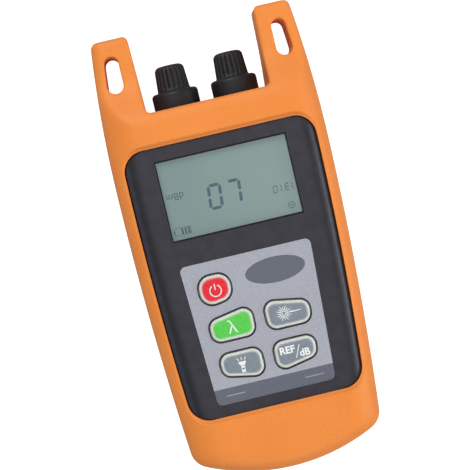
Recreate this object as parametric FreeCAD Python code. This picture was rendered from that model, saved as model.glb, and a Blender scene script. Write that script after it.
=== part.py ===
import FreeCAD, Part
import os
from math import asin, cos, hypot, pi, radians, sin, sqrt, tan

# Handheld optical power meter in a rubber boot, in millimetres.
# X runs across the face, +Y along the meter towards its two ports, +Z out of the display.
# The origin is on the table, under the middle of the boot. The meter lies on its back.

Vec = FreeCAD.Vector

# Boot: one rubber moulding with two ears
ear_tip_y = 96.5
boot_end_y = -96.5
shoulder_y = 36.0            # the sides are widest here
shoulder_half_width = 46.3
lower_side_radius = 1378.0   # long bow of each side below the shoulder
upper_side_radius = 503.0    # and above it
end_bow_radius = 84.0
end_corner_radius = 8.0
boot_side_wall = 3.1
boot_face_wall = 2.6
boot_back_wall = 2.9
boot_top_wall = 2.4
boot_end_wall = 3.6
boot_front_roll = 14.5
boot_back_roll = 9.0
boot_end_roll = 8.0
boot_fit = 0.1               # rubber to case, all round
ear_front_z = 27.4
ear_back_z = 8.6
ear_slope_start_y = 57.0     # where the ears start to thin
ear_slope_length = 23.0
ear_tip_roll = 3.5
ear_outer_corner = 3.5
ear_inner_corner = 2.5
notch_floor_y = 62.5
notch_floor_half_width = 26.3
notch_tip_half_width = 27.1
notch_corner = 2.0
slot_low = (36.2, 77.0, 3.45)   # centre x, centre y and radius of the slot's lower end
slot_high = (35.8, 86.0, 3.0)
window_side_inset = 5.4      # rim of the front window, in from the boot's side
window_low_y = -67.8
window_high_y = 48.1
window_corner = 9.0
window_lip = 2.4             # the edge slopes down to the face over this width, half on the sides
back_window_inset = 17.0
back_window_low_y = -83.0
back_window_high_y = 50.0
back_window_corner = 4.0
port_opening_margin = 0.65   # round the collars of the caps

# Case: front and rear cover
case_thickness = 30.0
case_front_roll = 12.0
case_back_roll = 8.0
case_end_roll = 6.0
case_corner_radius = 6.0
cover_wall = 2.2
parting_height = 15.0        # above the back of the case

# Display
display_side_margin = 18.3   # in from the boot's widest line
display_low_y = 7.8
display_high_y = 42.3
window_recess = 0.9
window_gap = 0.25
window_flange = 1.2
window_flange_thickness = 0.8
stack_gap = 0.1
panel_margin = 1.5           # glass beyond the opening, each side
panel_thickness = 2.6
backlight_thickness = 2.6
backlight_margin = 0.8

# Keypad
overlay_top_y = -2.8
overlay_foot_y = -62.9
overlay_side_margin = 18.3   # its upper corners, in from the boot's widest line
overlay_narrowing = 2.8      # of its half-width towards the foot
overlay_corner = 2.4
overlay_thickness = 0.5
overlay_fit = 0.1
key_gap = 0.5
key_rim = 1.15
key_bevel = 0.55
key_rise = 1.0               # of the rim above the face
key_pad_rise = 0.2           # of the coloured centre above the rim
key_flange = 0.8
key_flange_thickness = 0.8
key_flange_gap = 0.15
key_travel = 0.8
key_plunger_radius = 3.0
key_plunger_length = 0.8
key_stop_gap = 0.12
key_corner = 4.4
power_key_corner = 5.6
# corners of the gap round each key: the outer ones, and all four of the power key's, by their
# distance in from the overlay's side and y, the inner ones by x and y
power_gap = ((4.7, -22.2), (18.9, -19.9), (19.44, -8.3), (5.35, -8.3))
wavelength_outer = ((5.0, -37.2), (5.05, -27.3))
wavelength_inner = ((-2.4, -37.2), (-2.2, -23.8))
lamp_outer = ((5.35, -51.5), (5.2, -41.8))
lamp_inner = ((-2.2, -55.1), (-2.3, -41.8))
mat_side_margin = 4.4        # in from the overlay's upper corner
mat_low_y = -57.5
mat_high_y = -5.0
mat_thickness = 1.0

# Board
board_half_width = 29.5
board_low_y = -66.0
board_high_y = 45.5
board_thickness = 1.6
board_screw_x = 26.7
board_screw_low_y = -61.5
board_screw_high_y = 2.0
board_screw_radius = 1.0
board_screw_length = 5.0
board_screw_head_radius = 1.9
board_screw_head_height = 1.2
board_boss_half_width = 2.3
# chips under the board: centre x, centre y, width, length, height
chips = ((-14.0, 12.0, 12.0, 12.0, 1.3), (-14.0, 30.0, 8.0, 6.0, 1.5),
         (-24.0, 20.0, 4.0, 5.0, 1.2), (2.0, 6.0, 6.0, 5.0, 1.4), (20.0, 8.0, 7.0, 7.0, 1.2))

# Case screws
case_screw_radius = 1.25
case_screw_length = 21.0
case_screw_head_radius = 2.3
case_screw_head_height = 1.7
screw_low_y = -74.0
screw_low_inset = 7.7        # in from the case's side
screw_high_y = 50.0
screw_high_inset = 9.9
column_half_width = 3.0
screw_fit = 0.05
screw_tip_room = 1.0
head_fit = 0.2

# Ports
port_x = 12.7
port_shank_radius = 5.0
port_shank_length = 6.2
port_ring_radius = 7.9
port_ring_length = 7.4
port_barrel_radius = 4.0
port_barrel_length = 8.2
port_sleeve_radius = 2.1
port_sleeve_gap_radius = 3.05
port_bore_radius = 1.25
port_bore_length = 16.0
port_fit = 0.05
nut_across_flats = 14.0
nut_thickness = 2.5
detector_radius = 4.6
detector_length = 7.2
laser_radius = 3.9
laser_length = 24.0

# Caps
cap_collar_radius = 9.85
cap_collar_length = 9.7
cap_collar_edge = 1.3
cap_tip_base_radius = 6.95
cap_tip_top_radius = 6.3
cap_tip_length = 11.0
cap_tip_edge = 1.5
cap_groove_count = 17
cap_groove_depth = 0.5
cap_groove_half_width = 0.55
cap_groove_start = 0.6
cap_fit = 0.05
cap_bore_gap = 0.5
cap_seat_gap = 0.2

# Lamp between the ports
lens_radius = 2.45
lens_length = 2.8
lens_dome = 0.6
lamp_foot = 1.2
lamp_foot_radius = 2.9
lamp_radius = 2.4
lamp_length = 7.5
lamp_fit = 0.05

# Battery bay
cell_radius = 7.1
cell_length = 49.2
cell_nub_radius = 2.7
cell_nub_length = 1.0
cell_gap = 0.3
cell_count = 3
bay_wall = 1.4
bay_low_y = -77.4
plate_thickness = 0.4
plate_half_width = 4.4
plate_height = 9.0
spring_thickness = 0.4
spring_rise = 2.2
door_thickness = 1.8
door_gap = 0.25
door_overhang = 1.2
door_pin_length = 1.4
door_pin_radius = 0.7
door_pin_fit = 0.06
door_corner = 1.5
grip_radius = 14.0
grip_depth = 0.9
grip_inset = 6.0
grip_half_width = 7.0

# Levels worked out from the above
case_back_z = boot_back_wall + boot_fit
case_front_z = case_back_z + case_thickness
boot_front_z = case_front_z + boot_fit + boot_face_wall
parting_z = case_back_z + parting_height
case_side_inset = boot_side_wall + boot_fit
case_end_inset = boot_end_wall + boot_fit
case_top_y = notch_floor_y - boot_top_wall - boot_fit
inner_front_z = case_front_z - cover_wall
inner_back_z = case_back_z + cover_wall
inner_top_y = case_top_y - cover_wall
window_flange_z = inner_front_z - stack_gap - window_flange_thickness
panel_z = window_flange_z - stack_gap - panel_thickness
backlight_z = panel_z - backlight_thickness
board_top_z = backlight_z
board_z = board_top_z - board_thickness
screw_head_z = inner_back_z
key_flange_z = inner_front_z - key_flange_gap - key_flange_thickness
key_foot_z = key_flange_z - key_plunger_length
bay_length = cell_length + cell_nub_length + 2 * plate_thickness + spring_rise
bay_high_y = bay_low_y + bay_length
bay_half_width = cell_count * cell_radius + (cell_count + 1) * cell_gap / 2
cell_z = case_back_z + door_thickness + cell_gap + cell_radius
bay_top_z = cell_z + cell_radius + cell_gap
door_hinge_y = bay_low_y - door_overhang
door_hinge_z = case_back_z + door_thickness / 2
door_half_width = bay_half_width - door_gap
display_half_width = shoulder_half_width - display_side_margin
overlay_top_half_width = shoulder_half_width - overlay_side_margin
overlay_foot_half_width = overlay_top_half_width - overlay_narrowing
mat_half_width = overlay_top_half_width - mat_side_margin
nodes = {}


def unit(vector):
    return vector / vector.Length


def arc(start, end, centre):
    # the shorter arc about a centre
    radius = (start - centre).Length
    middle = centre + unit((start - centre) + (end - centre)) * radius
    return Part.Arc(start, middle, end).toShape()


def line(start, end):
    return Part.LineSegment(start, end).toShape()


def prism(wire, height):
    return Part.Face(wire).extrude(Vec(0, 0, height))


def box(x_low, x_high, y_low, y_high, z_low, z_high):
    return Part.makeBox(x_high - x_low, y_high - y_low, z_high - z_low, Vec(x_low, y_low, z_low))


def mirror_x(shape):
    return shape.mirror(Vec(0, 0, 0), Vec(1, 0, 0))


def both_sides(shape):
    return [shape, mirror_x(shape)]


def fuse_all(shapes):
    return shapes[0].multiFuse(shapes[1:]).removeSplitter()


def rounded_polygon(points, radius, z):
    # convex outline with every corner rounded
    count = len(points)
    places = [Vec(x, y, z) for x, y in points]
    ends = []
    for index in range(count):
        corner = places[index]
        back = unit(places[index - 1] - corner)
        ahead = unit(places[(index + 1) % count] - corner)
        half_angle = back.getAngle(ahead) / 2
        reach = radius / tan(half_angle)
        centre = corner + unit(back + ahead) * (radius / sin(half_angle))
        ends.append((corner + back * reach, corner + ahead * reach, centre))
    edges = []
    for index in range(count):
        start, end, centre = ends[index]
        edges.append(arc(start, end, centre))
        edges.append(line(end, ends[(index + 1) % count][0]))
    return Part.Wire(edges)


def polygon(points, z):
    places = [Vec(x, y, z) for x, y in points]
    return Part.makePolygon(places + places[:1])


def inset_polygon(points, distance):
    # anticlockwise convex outline with each side moved in by one distance
    count = len(points)
    result = []
    for index in range(count):
        before, corner, after = points[index - 1], points[index], points[(index + 1) % count]
        back = hypot(corner[0] - before[0], corner[1] - before[1])
        ahead = hypot(after[0] - corner[0], after[1] - corner[1])
        back_x, back_y = (corner[0] - before[0]) / back, (corner[1] - before[1]) / back
        ahead_x, ahead_y = (after[0] - corner[0]) / ahead, (after[1] - corner[1]) / ahead
        turn = back_x * ahead_y - back_y * ahead_x
        shift = distance / turn
        result.append((corner[0] + (ahead_x - back_x) * shift, corner[1] + (ahead_y - back_y) * shift))
    return result


def rectangle(half_width, y_low, y_high):
    return ((-half_width, y_low), (half_width, y_low), (half_width, y_high), (-half_width, y_high))


def plan(side_inset, low, corner, top_y, top_corner, z):
    # outline between the two bowed sides: low is ("bow", inset) or ("flat", y)
    lower_centre = Vec(shoulder_half_width - lower_side_radius, shoulder_y, z)
    lower_radius = lower_side_radius - side_inset
    upper_centre = Vec(shoulder_half_width - upper_side_radius, shoulder_y, z)
    upper_radius = upper_side_radius - side_inset
    shoulder = Vec(shoulder_half_width - side_inset, shoulder_y, z)
    kind, value = low
    if kind == "bow":
        end_centre = Vec(0, boot_end_y + end_bow_radius, z)
        end_radius = end_bow_radius - value
        across = end_centre - lower_centre
        reach_side = lower_radius - corner
        reach_end = end_radius - corner
        along = (across.Length ** 2 + reach_side ** 2 - reach_end ** 2) / (2 * across.Length)
        off = sqrt(reach_side ** 2 - along ** 2)
        direction = unit(across)
        corner_centre = lower_centre + direction * along + Vec(direction.y, -direction.x, 0) * off
        low_point = end_centre + unit(corner_centre - end_centre) * end_radius
    else:
        drop = shoulder_y - value - corner
        corner_x = lower_centre.x + sqrt((lower_radius - corner) ** 2 - drop ** 2)
        corner_centre = Vec(corner_x, value + corner, z)
        low_point = Vec(corner_x, value, z)
    side_point = lower_centre + unit(corner_centre - lower_centre) * lower_radius
    rise = top_y - top_corner - shoulder_y
    top_x = upper_centre.x + sqrt((upper_radius - top_corner) ** 2 - rise ** 2)
    top_centre = Vec(top_x, top_y - top_corner, z)
    upper_point = upper_centre + unit(top_centre - upper_centre) * upper_radius
    top_point = Vec(top_x, top_y, z)
    right = [arc(low_point, side_point, corner_centre),
             arc(side_point, shoulder, lower_centre),
             arc(shoulder, upper_point, upper_centre),
             arc(upper_point, top_point, top_centre)]
    left = [mirror_x(edge) for edge in right]
    if kind == "bow":
        foot = arc(Vec(-low_point.x, low_point.y, z), low_point, end_centre)
    else:
        foot = line(Vec(-low_point.x, low_point.y, z), low_point)
    top = line(top_point, Vec(-top_point.x, top_point.y, z))
    return Part.Wire(Part.__sortEdges__([foot] + right + [top] + left))


def hull(side_inset, end_inset, back_z, front_z, rolls, top_y, top_corner, ruled):
    # body between two faces, its sides and its bowed end rolled over by quarter ellipses
    back_roll, front_roll, end_roll = rolls
    turns = (0, 45, 90) if ruled else (0, 30, 60, 90)
    levels = [(angle, back_z + back_roll * (1 - sin(radians(angle))), back_roll) for angle in reversed(turns)]
    levels += [(angle, front_z - front_roll * (1 - sin(radians(angle))), front_roll) for angle in turns]
    sections = []
    for angle, z, roll in levels:
        inward = 1 - cos(radians(angle))
        sections.append(plan(side_inset + roll * inward, ("bow", end_inset + end_roll * inward),
                             end_corner_radius, top_y, top_corner, z))
    return Part.makeLoft(sections, True, ruled)


def case_hull(growth):
    # the closed outside of the case, grown evenly, or its inside where the growth is negative
    rolls = (case_back_roll + growth, case_front_roll + growth, case_end_roll + growth)
    return hull(case_side_inset - growth, case_end_inset - growth, case_back_z - growth,
                case_front_z + growth, rolls, case_top_y + growth, case_corner_radius, growth < 0)


def cylinder_y(radius, length, x, y, z):
    return Part.makeCylinder(radius, length, Vec(x, y, z), Vec(0, 1, 0))


def ear_profile():
    # side view of the boot: flat over the case, thinning towards the ear tips
    slope_end_y = ear_slope_start_y + ear_slope_length
    beyond = boot_end_y - boot_end_wall
    across = shoulder_half_width + boot_side_wall
    front_bend = Part.BSplineCurve()
    front_bend.interpolate(Points=[Vec(-across, ear_slope_start_y, boot_front_z),
                                   Vec(-across, slope_end_y, ear_front_z)],
                           InitialTangent=Vec(0, 1, 0), FinalTangent=Vec(0, 1, 0))
    back_bend = Part.BSplineCurve()
    back_bend.interpolate(Points=[Vec(-across, slope_end_y, ear_back_z),
                                  Vec(-across, ear_slope_start_y, 0)],
                          InitialTangent=Vec(0, -1, 0), FinalTangent=Vec(0, -1, 0))
    tip_front = Vec(-across, ear_tip_y - ear_tip_roll, ear_front_z)
    tip_back = Vec(-across, ear_tip_y - ear_tip_roll, ear_back_z)
    edge_front = Vec(-across, ear_tip_y, ear_front_z - ear_tip_roll)
    edge_back = Vec(-across, ear_tip_y, ear_back_z + ear_tip_roll)
    edges = [line(Vec(-across, beyond, 0), Vec(-across, beyond, boot_front_z)),
             line(Vec(-across, beyond, boot_front_z), Vec(-across, ear_slope_start_y, boot_front_z)),
             front_bend.toShape(),
             line(Vec(-across, slope_end_y, ear_front_z), tip_front),
             arc(tip_front, edge_front, tip_front - Vec(0, 0, ear_tip_roll)),
             line(edge_front, edge_back),
             arc(edge_back, tip_back, tip_back + Vec(0, 0, ear_tip_roll)),
             line(tip_back, Vec(-across, slope_end_y, ear_back_z)),
             back_bend.toShape(),
             line(Vec(-across, ear_slope_start_y, 0), Vec(-across, beyond, 0))]
    return Part.Face(Part.Wire(edges)).extrude(Vec(2 * across, 0, 0))


def ear_plan():
    # front view of the boot: bowed sides, curved end, and the notch between the ears
    outline = plan(0, ("bow", 0), end_corner_radius, ear_tip_y, ear_outer_corner, 0)
    notch_lean = (notch_tip_half_width - notch_floor_half_width) / (ear_tip_y - notch_floor_y)
    beyond_half_width = notch_tip_half_width + notch_lean * ear_tip_roll
    beyond_y = ear_tip_y + ear_tip_roll
    notch = Part.makePolygon([Vec(-notch_floor_half_width, notch_floor_y, 0),
                              Vec(notch_floor_half_width, notch_floor_y, 0),
                              Vec(beyond_half_width, beyond_y, 0),
                              Vec(-beyond_half_width, beyond_y, 0),
                              Vec(-notch_floor_half_width, notch_floor_y, 0)])
    notch = prism(notch, boot_front_z)
    upright = [edge for edge in notch.Edges
               if edge.BoundBox.ZLength > boot_front_z / 2 and edge.BoundBox.YMax < ear_tip_y]
    notch = notch.makeFillet(notch_corner, upright)
    body = prism(outline, boot_front_z).cut(notch)
    tips = [edge for edge in body.Edges
            if edge.BoundBox.ZLength > boot_front_z / 2 and edge.BoundBox.YMin > ear_tip_y - boot_fit
            and abs(abs(edge.CenterOfMass.x) - notch_tip_half_width) < boot_side_wall]
    return body.makeFillet(ear_inner_corner, tips)


def tapered_slot(low, high):
    # hole between two circles of different size, along a side of the boot
    start, start_radius = Vec(low[0], low[1], 0), low[2]
    end, end_radius = Vec(high[0], high[1], 0), high[2]
    axis = end - start
    lean = asin((start_radius - end_radius) / axis.Length)
    forward = unit(axis)
    side = Vec(-forward.y, forward.x, 0)
    left = forward * sin(lean) + side * cos(lean)
    right = forward * sin(lean) - side * cos(lean)
    edges = [Part.Arc(start + left * start_radius, start - forward * start_radius,
                      start + right * start_radius).toShape(),
             line(start + right * start_radius, end + right * end_radius),
             Part.Arc(end + right * end_radius, end + forward * end_radius,
                      end + left * end_radius).toShape(),
             line(end + left * end_radius, start + left * start_radius)]
    return prism(Part.Wire(edges), boot_front_z)


def front_window(grow, z):
    return plan(window_side_inset - grow / 2, ("flat", window_low_y - grow), window_corner,
                window_high_y + grow, window_corner, z)


def front_window_cut():
    # upright through the wall, then sloping out above the case
    upright = prism(front_window(0, parting_z), boot_front_z - parting_z)
    slope = Part.makeLoft([front_window(0, case_front_z + boot_fit),
                           front_window(window_lip, boot_front_z)], True, True)
    return upright.fuse(slope)


def back_window_cut():
    window = plan(back_window_inset, ("flat", back_window_low_y), back_window_corner,
                  back_window_high_y, back_window_corner, 0)
    return prism(window, parting_z)


def port_opening():
    # rounded slot in the boot's top wall, round both caps
    radius = cap_collar_radius + port_opening_margin
    start_y = case_top_y - boot_top_wall
    length = notch_floor_y + boot_top_wall - start_y
    middle = box(-port_x, port_x, start_y, start_y + length, parting_z - radius, parting_z + radius)
    rounds = both_sides(cylinder_y(radius, length, port_x, start_y, parting_z))
    return fuse_all([middle] + rounds)


def protective_boot():
    rolls = (boot_back_roll, boot_front_roll, boot_end_roll)
    outside = hull(0, 0, 0, boot_front_z, rolls, ear_tip_y + ear_tip_roll, ear_outer_corner, False)
    boot = outside.common(ear_profile()).common(ear_plan())
    boot = boot.cut(case_hull(boot_fit))
    boot = boot.cut(front_window_cut()).cut(back_window_cut())
    slot = tapered_slot(slot_low, slot_high)
    return boot.cut(fuse_all([port_opening()] + both_sides(slot)))


def port_holes():
    holes = both_sides(cylinder_y(port_shank_radius + port_fit, 2 * cover_wall, port_x,
                                  inner_top_y - cover_wall / 2, parting_z))
    lamp = cylinder_y(lens_radius + lamp_fit, 2 * cover_wall, 0, inner_top_y - cover_wall / 2, parting_z)
    return holes + [lamp]


def posts(places, half_width, z_low, z_high):
    return [box(x - half_width, x + half_width, y - half_width, y + half_width, z_low, z_high)
            for x, y in places]


def board_screw_places():
    return [(x, y) for x in (-board_screw_x, board_screw_x)
            for y in (board_screw_low_y, board_screw_high_y)]


def case_half_width(y):
    radius = lower_side_radius if y < shoulder_y else upper_side_radius
    drop = radius - sqrt(radius ** 2 - (shoulder_y - y) ** 2)
    return shoulder_half_width - case_side_inset - drop


def case_screw_places():
    low_x = case_half_width(screw_low_y) - screw_low_inset
    high_x = case_half_width(screw_high_y) - screw_high_inset
    return [(side * x, y) for side in (-1, 1) for x, y in ((low_x, screw_low_y), (high_x, screw_high_y))]


def overlay_points():
    return ((-overlay_foot_half_width, overlay_foot_y), (overlay_foot_half_width, overlay_foot_y),
            (overlay_top_half_width, overlay_top_y), (-overlay_top_half_width, overlay_top_y))


def mirrored(points):
    return tuple((-x, y) for x, y in reversed(points))


def overlay_half_width(y):
    share = (y - overlay_foot_y) / (overlay_top_y - overlay_foot_y)
    return overlay_foot_half_width + (overlay_top_half_width - overlay_foot_half_width) * share


def from_overlay_side(places):
    return [(inset - overlay_half_width(y), y) for inset, y in places]


def gap_corners(outer, inner):
    # anticlockwise, for a key on the left
    low, high = from_overlay_side(outer)
    return [low] + list(inner) + [high]


def key_layout():
    wavelength = gap_corners(wavelength_outer, wavelength_inner)
    lamp = gap_corners(lamp_outer, lamp_inner)
    return {"power_key": (from_overlay_side(power_gap), power_key_corner),
            "wavelength_key": (wavelength, key_corner),
            "laser_key": (mirrored(wavelength), key_corner),
            "lamp_key": (lamp, key_corner),
            "reference_key": (mirrored(lamp), key_corner)}


def key_outline(corners, radius, inset, z):
    return rounded_polygon(inset_polygon(corners, inset), radius - inset, z)


def key_holes(z_low, z_high):
    return [prism(key_outline(corners, radius, 0, z_low), z_high - z_low)
            for corners, radius in key_layout().values()]


def key_centre(corners):
    return sum(x for x, y in corners) / len(corners), sum(y for x, y in corners) / len(corners)


def front_cover():
    outside = case_hull(0)
    shell = outside.cut(case_hull(-cover_wall))
    half = box(-shoulder_half_width, shoulder_half_width, boot_end_y, notch_floor_y,
               parting_z, boot_front_z)
    bosses = posts(board_screw_places(), board_boss_half_width, board_top_z, inner_front_z + stack_gap)
    columns = [column.common(outside)
               for column in posts(case_screw_places(), column_half_width, parting_z, inner_front_z)]
    cover = fuse_all([shell.common(half)] + bosses + columns)
    display = prism(polygon(rectangle(display_half_width, display_low_y, display_high_y),
                            inner_front_z - stack_gap), boot_front_z - inner_front_z)
    recess_z = case_front_z - overlay_thickness
    recess = prism(rounded_polygon(inset_polygon(overlay_points(), -overlay_fit),
                                   overlay_corner + overlay_fit, recess_z), cover_wall)
    holes = key_holes(inner_front_z - cover_wall, case_front_z + cover_wall)
    threads = [Part.makeCylinder(board_screw_radius + screw_fit, board_screw_length + screw_tip_room,
                                 Vec(x, y, board_z))
               for x, y in board_screw_places()]
    threads += [Part.makeCylinder(case_screw_radius + screw_fit, case_screw_length + screw_tip_room,
                                  Vec(x, y, screw_head_z)) for x, y in case_screw_places()]
    return cover.cut(Part.makeCompound([display, recess])).cut(Part.makeCompound(holes)) \
        .cut(Part.makeCompound(threads)).cut(Part.makeCompound(port_holes()))


def door_slot(grow):
    # the door's plate, its corners rounded at the free end, or the hole for it
    high_y = bay_high_y + door_overhang + grow
    plate = box(-door_half_width - grow, door_half_width + grow, door_hinge_y, high_y,
                case_back_z - grow, case_back_z + door_thickness + grow)
    free = [edge for edge in plate.Edges
            if edge.BoundBox.ZLength > door_thickness / 2 and edge.BoundBox.YMin > door_hinge_y]
    plate = plate.makeFillet(door_corner + grow, free)
    barrel = Part.makeCylinder(door_thickness / 2 + grow, 2 * (door_half_width + grow),
                               Vec(-door_half_width - grow, door_hinge_y, door_hinge_z), Vec(1, 0, 0))
    return plate.fuse(barrel)


def rear_cover():
    outside = case_hull(0)
    shell = outside.cut(case_hull(-cover_wall))
    half = box(-shoulder_half_width, shoulder_half_width, boot_end_y, notch_floor_y, 0, parting_z)
    outer = bay_half_width + bay_wall
    bay = box(-outer, outer, bay_low_y - door_overhang - door_pin_length, bay_high_y + bay_wall,
              case_back_z, bay_top_z + bay_wall)
    columns = [column.common(outside)
               for column in posts(case_screw_places(), column_half_width, case_back_z, parting_z)]
    cover = fuse_all([shell.common(half), bay.common(outside)] + columns)
    room = box(-bay_half_width, bay_half_width, bay_low_y, bay_high_y,
               case_back_z + door_thickness, bay_top_z)
    pin_reach = door_half_width + door_pin_length + door_gap / 2
    pin = Part.makeCylinder(door_pin_radius + door_pin_fit, 2 * pin_reach,
                            Vec(-pin_reach, door_hinge_y, door_hinge_z), Vec(1, 0, 0))
    swing = box(-door_half_width - door_gap, door_half_width + door_gap,
                door_hinge_y - door_thickness / 2 - door_gap, door_hinge_y,
                case_back_z - cover_wall, door_hinge_z)
    shanks = [Part.makeCylinder(case_screw_radius + screw_fit, parting_height, Vec(x, y, case_back_z))
              for x, y in case_screw_places()]
    heads = [Part.makeCylinder(case_screw_head_radius + head_fit, cover_wall,
                               Vec(x, y, case_back_z)) for x, y in case_screw_places()]
    cuts = [room, door_slot(door_gap), pin, swing] + shanks + heads + port_holes()
    return cover.cut(Part.makeCompound(cuts))


def battery_door():
    door = door_slot(0)
    pins = [Part.makeCylinder(door_pin_radius, door_half_width + door_pin_length,
                              Vec(0, door_hinge_y, door_hinge_z), Vec(side, 0, 0)) for side in (-1, 1)]
    grip_y = bay_high_y - grip_inset
    grip = Part.makeCylinder(grip_radius, 2 * grip_half_width,
                             Vec(-grip_half_width, grip_y, case_back_z + grip_depth - grip_radius),
                             Vec(1, 0, 0))
    return fuse_all([door] + pins).cut(grip)


def display_window():
    inside = inset_polygon(rectangle(display_half_width, display_low_y, display_high_y), window_gap)
    lens = prism(polygon(inside, window_flange_z), case_front_z - window_recess - window_flange_z)
    flange = prism(polygon(inset_polygon(inside, -window_flange - window_gap), window_flange_z),
                   window_flange_thickness)
    return fuse_all([lens, flange])


def display_panel():
    points = inset_polygon(rectangle(display_half_width, display_low_y, display_high_y), -panel_margin)
    return prism(polygon(points, panel_z), panel_thickness)


def display_backlight():
    points = inset_polygon(rectangle(display_half_width, display_low_y, display_high_y), -backlight_margin)
    return prism(polygon(points, backlight_z), backlight_thickness)


def keypad_overlay():
    sheet = prism(rounded_polygon(overlay_points(), overlay_corner, case_front_z - overlay_thickness),
                  overlay_thickness)
    return sheet.cut(Part.makeCompound(key_holes(inner_front_z, boot_front_z)))


def key(corners, radius):
    # flange and plunger inside the case, a bevelled rim and a raised coloured centre outside
    shoulder_z = case_front_z + key_rise - key_bevel
    rim_z = case_front_z + key_rise
    stem = prism(key_outline(corners, radius, key_gap, key_flange_z), shoulder_z - key_flange_z)
    bevel = Part.makeLoft([key_outline(corners, radius, key_gap, shoulder_z),
                           key_outline(corners, radius, key_gap + key_bevel, rim_z)], True, True)
    pad = prism(key_outline(corners, radius, key_gap + key_rim, rim_z), key_pad_rise)
    flange = prism(polygon(inset_polygon(corners, -key_flange), key_flange_z), key_flange_thickness)
    plunger = posts([key_centre(corners)], key_plunger_radius, key_foot_z, key_flange_z)
    return fuse_all([stem, bevel, pad, flange] + plunger)


def key_mat():
    # silicone sheet on the board with a dome stem under each key
    sheet = prism(polygon(rectangle(mat_half_width, mat_low_y, mat_high_y), board_top_z), mat_thickness)
    stem_height = key_foot_z - key_travel - key_stop_gap - board_top_z
    stems = []
    for corners, radius in key_layout().values():
        x, y = key_centre(corners)
        stems.append(Part.makeCone(key_plunger_radius + mat_thickness, key_plunger_radius, stem_height,
                                   Vec(x, y, board_top_z)))
    return fuse_all([sheet] + stems)


def main_board():
    board = prism(polygon(rectangle(board_half_width, board_low_y, board_high_y), board_z), board_thickness)
    holes = [Part.makeCylinder(board_screw_radius + screw_fit, 3 * board_thickness,
                               Vec(x, y, board_z - board_thickness)) for x, y in board_screw_places()]
    return board.cut(Part.makeCompound(holes))


def board_chips():
    return Part.makeCompound([box(x - width / 2, x + width / 2, y - length / 2, y + length / 2,
                                  board_z - height, board_z) for x, y, width, length, height in chips])


def screw(radius, length, head_radius, head_height, x, y, head_z):
    # head below head_z, shank above it
    shank = Part.makeCylinder(radius, length, Vec(x, y, head_z))
    head = Part.makeCylinder(head_radius, head_height, Vec(x, y, head_z - head_height))
    return shank.fuse(head)


def board_screws():
    return Part.makeCompound([screw(board_screw_radius, board_screw_length, board_screw_head_radius,
                                    board_screw_head_height, x, y, board_z)
                              for x, y in board_screw_places()])


def case_screws():
    return Part.makeCompound([screw(case_screw_radius, case_screw_length, case_screw_head_radius,
                                    case_screw_head_height, x, y, screw_head_z)
                              for x, y in case_screw_places()])


def port_adaptor(x):
    # flanged metal adaptor: shank through the end wall, ring for the cap, barrel and ferrule sleeve
    shank_y = case_top_y - port_shank_length
    ring_end_y = case_top_y + port_ring_length
    barrel_end_y = ring_end_y + port_barrel_length
    shank = cylinder_y(port_shank_radius, port_shank_length, x, shank_y, parting_z)
    ring = cylinder_y(port_ring_radius, port_ring_length, x, case_top_y, parting_z)
    barrel = cylinder_y(port_barrel_radius, port_barrel_length, x, ring_end_y, parting_z)
    moat = cylinder_y(port_sleeve_gap_radius, port_barrel_length, x, ring_end_y, parting_z)
    sleeve = cylinder_y(port_sleeve_radius, port_barrel_length, x, ring_end_y, parting_z)
    bore = cylinder_y(port_bore_radius, port_bore_length, x, barrel_end_y - port_bore_length, parting_z)
    return fuse_all([shank, ring, barrel.cut(moat), sleeve]).cut(bore)


def port_nut(x):
    radius = nut_across_flats / 2 / cos(pi / 6)
    corners = [Vec(x + radius * cos(pi / 6 + index * pi / 3), inner_top_y - nut_thickness,
                   parting_z + radius * sin(pi / 6 + index * pi / 3)) for index in range(7)]
    nut = Part.Face(Part.makePolygon(corners)).extrude(Vec(0, nut_thickness, 0))
    return nut.cut(cylinder_y(port_shank_radius + port_fit, 3 * nut_thickness, x,
                              inner_top_y - 2 * nut_thickness, parting_z))


def port_module(x, radius, length):
    end_y = case_top_y - port_shank_length
    return cylinder_y(radius, length, x, end_y - length, parting_z)


def edge_steps(radius, top_y, roll):
    # an edge rolled over in short flats, from the side to the face
    turns = [radians(angle) for angle in (0, 45, 90)]
    return [(radius - roll * (1 - cos(turn)), top_y - roll * (1 - sin(turn))) for turn in turns]


def cap_profile(foot_y, collar_y, tip_y):
    # half section of the cap's outside, from the axis outwards
    taper = (cap_tip_base_radius - cap_tip_top_radius) / cap_tip_length
    edge_radius = cap_tip_top_radius + taper * cap_tip_edge
    collar = edge_steps(cap_collar_radius, collar_y, cap_collar_edge)
    tip = edge_steps(edge_radius, tip_y, cap_tip_edge)
    return polygon([(0, foot_y), (cap_collar_radius, foot_y)] + collar
                   + [(cap_tip_base_radius, collar_y)] + tip + [(0, tip_y)], 0)


def cap_grooves(collar_y):
    # V grooves that run up the tapered tip and leave rounded ribs between them
    start = collar_y + cap_groove_start
    lean = Vec(cap_tip_top_radius - cap_tip_base_radius, cap_tip_length, 0)
    outer = cap_tip_base_radius + cap_groove_depth
    inner = cap_tip_base_radius - cap_groove_depth
    corners = [Vec(inner, start, 0), Vec(outer, start, 2 * cap_groove_half_width),
               Vec(outer, start, -2 * cap_groove_half_width), Vec(inner, start, 0)]
    ribbed_share = 1 - (cap_groove_start + cap_tip_edge) / cap_tip_length
    groove = Part.Face(Part.makePolygon(corners)).extrude(lean * ribbed_share)
    grooves = []
    for index in range(cap_groove_count):
        copy = groove.copy()
        copy.rotate(Vec(0, 0, 0), Vec(0, 1, 0), index * 360 / cap_groove_count)
        grooves.append(copy)
    return grooves


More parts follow.
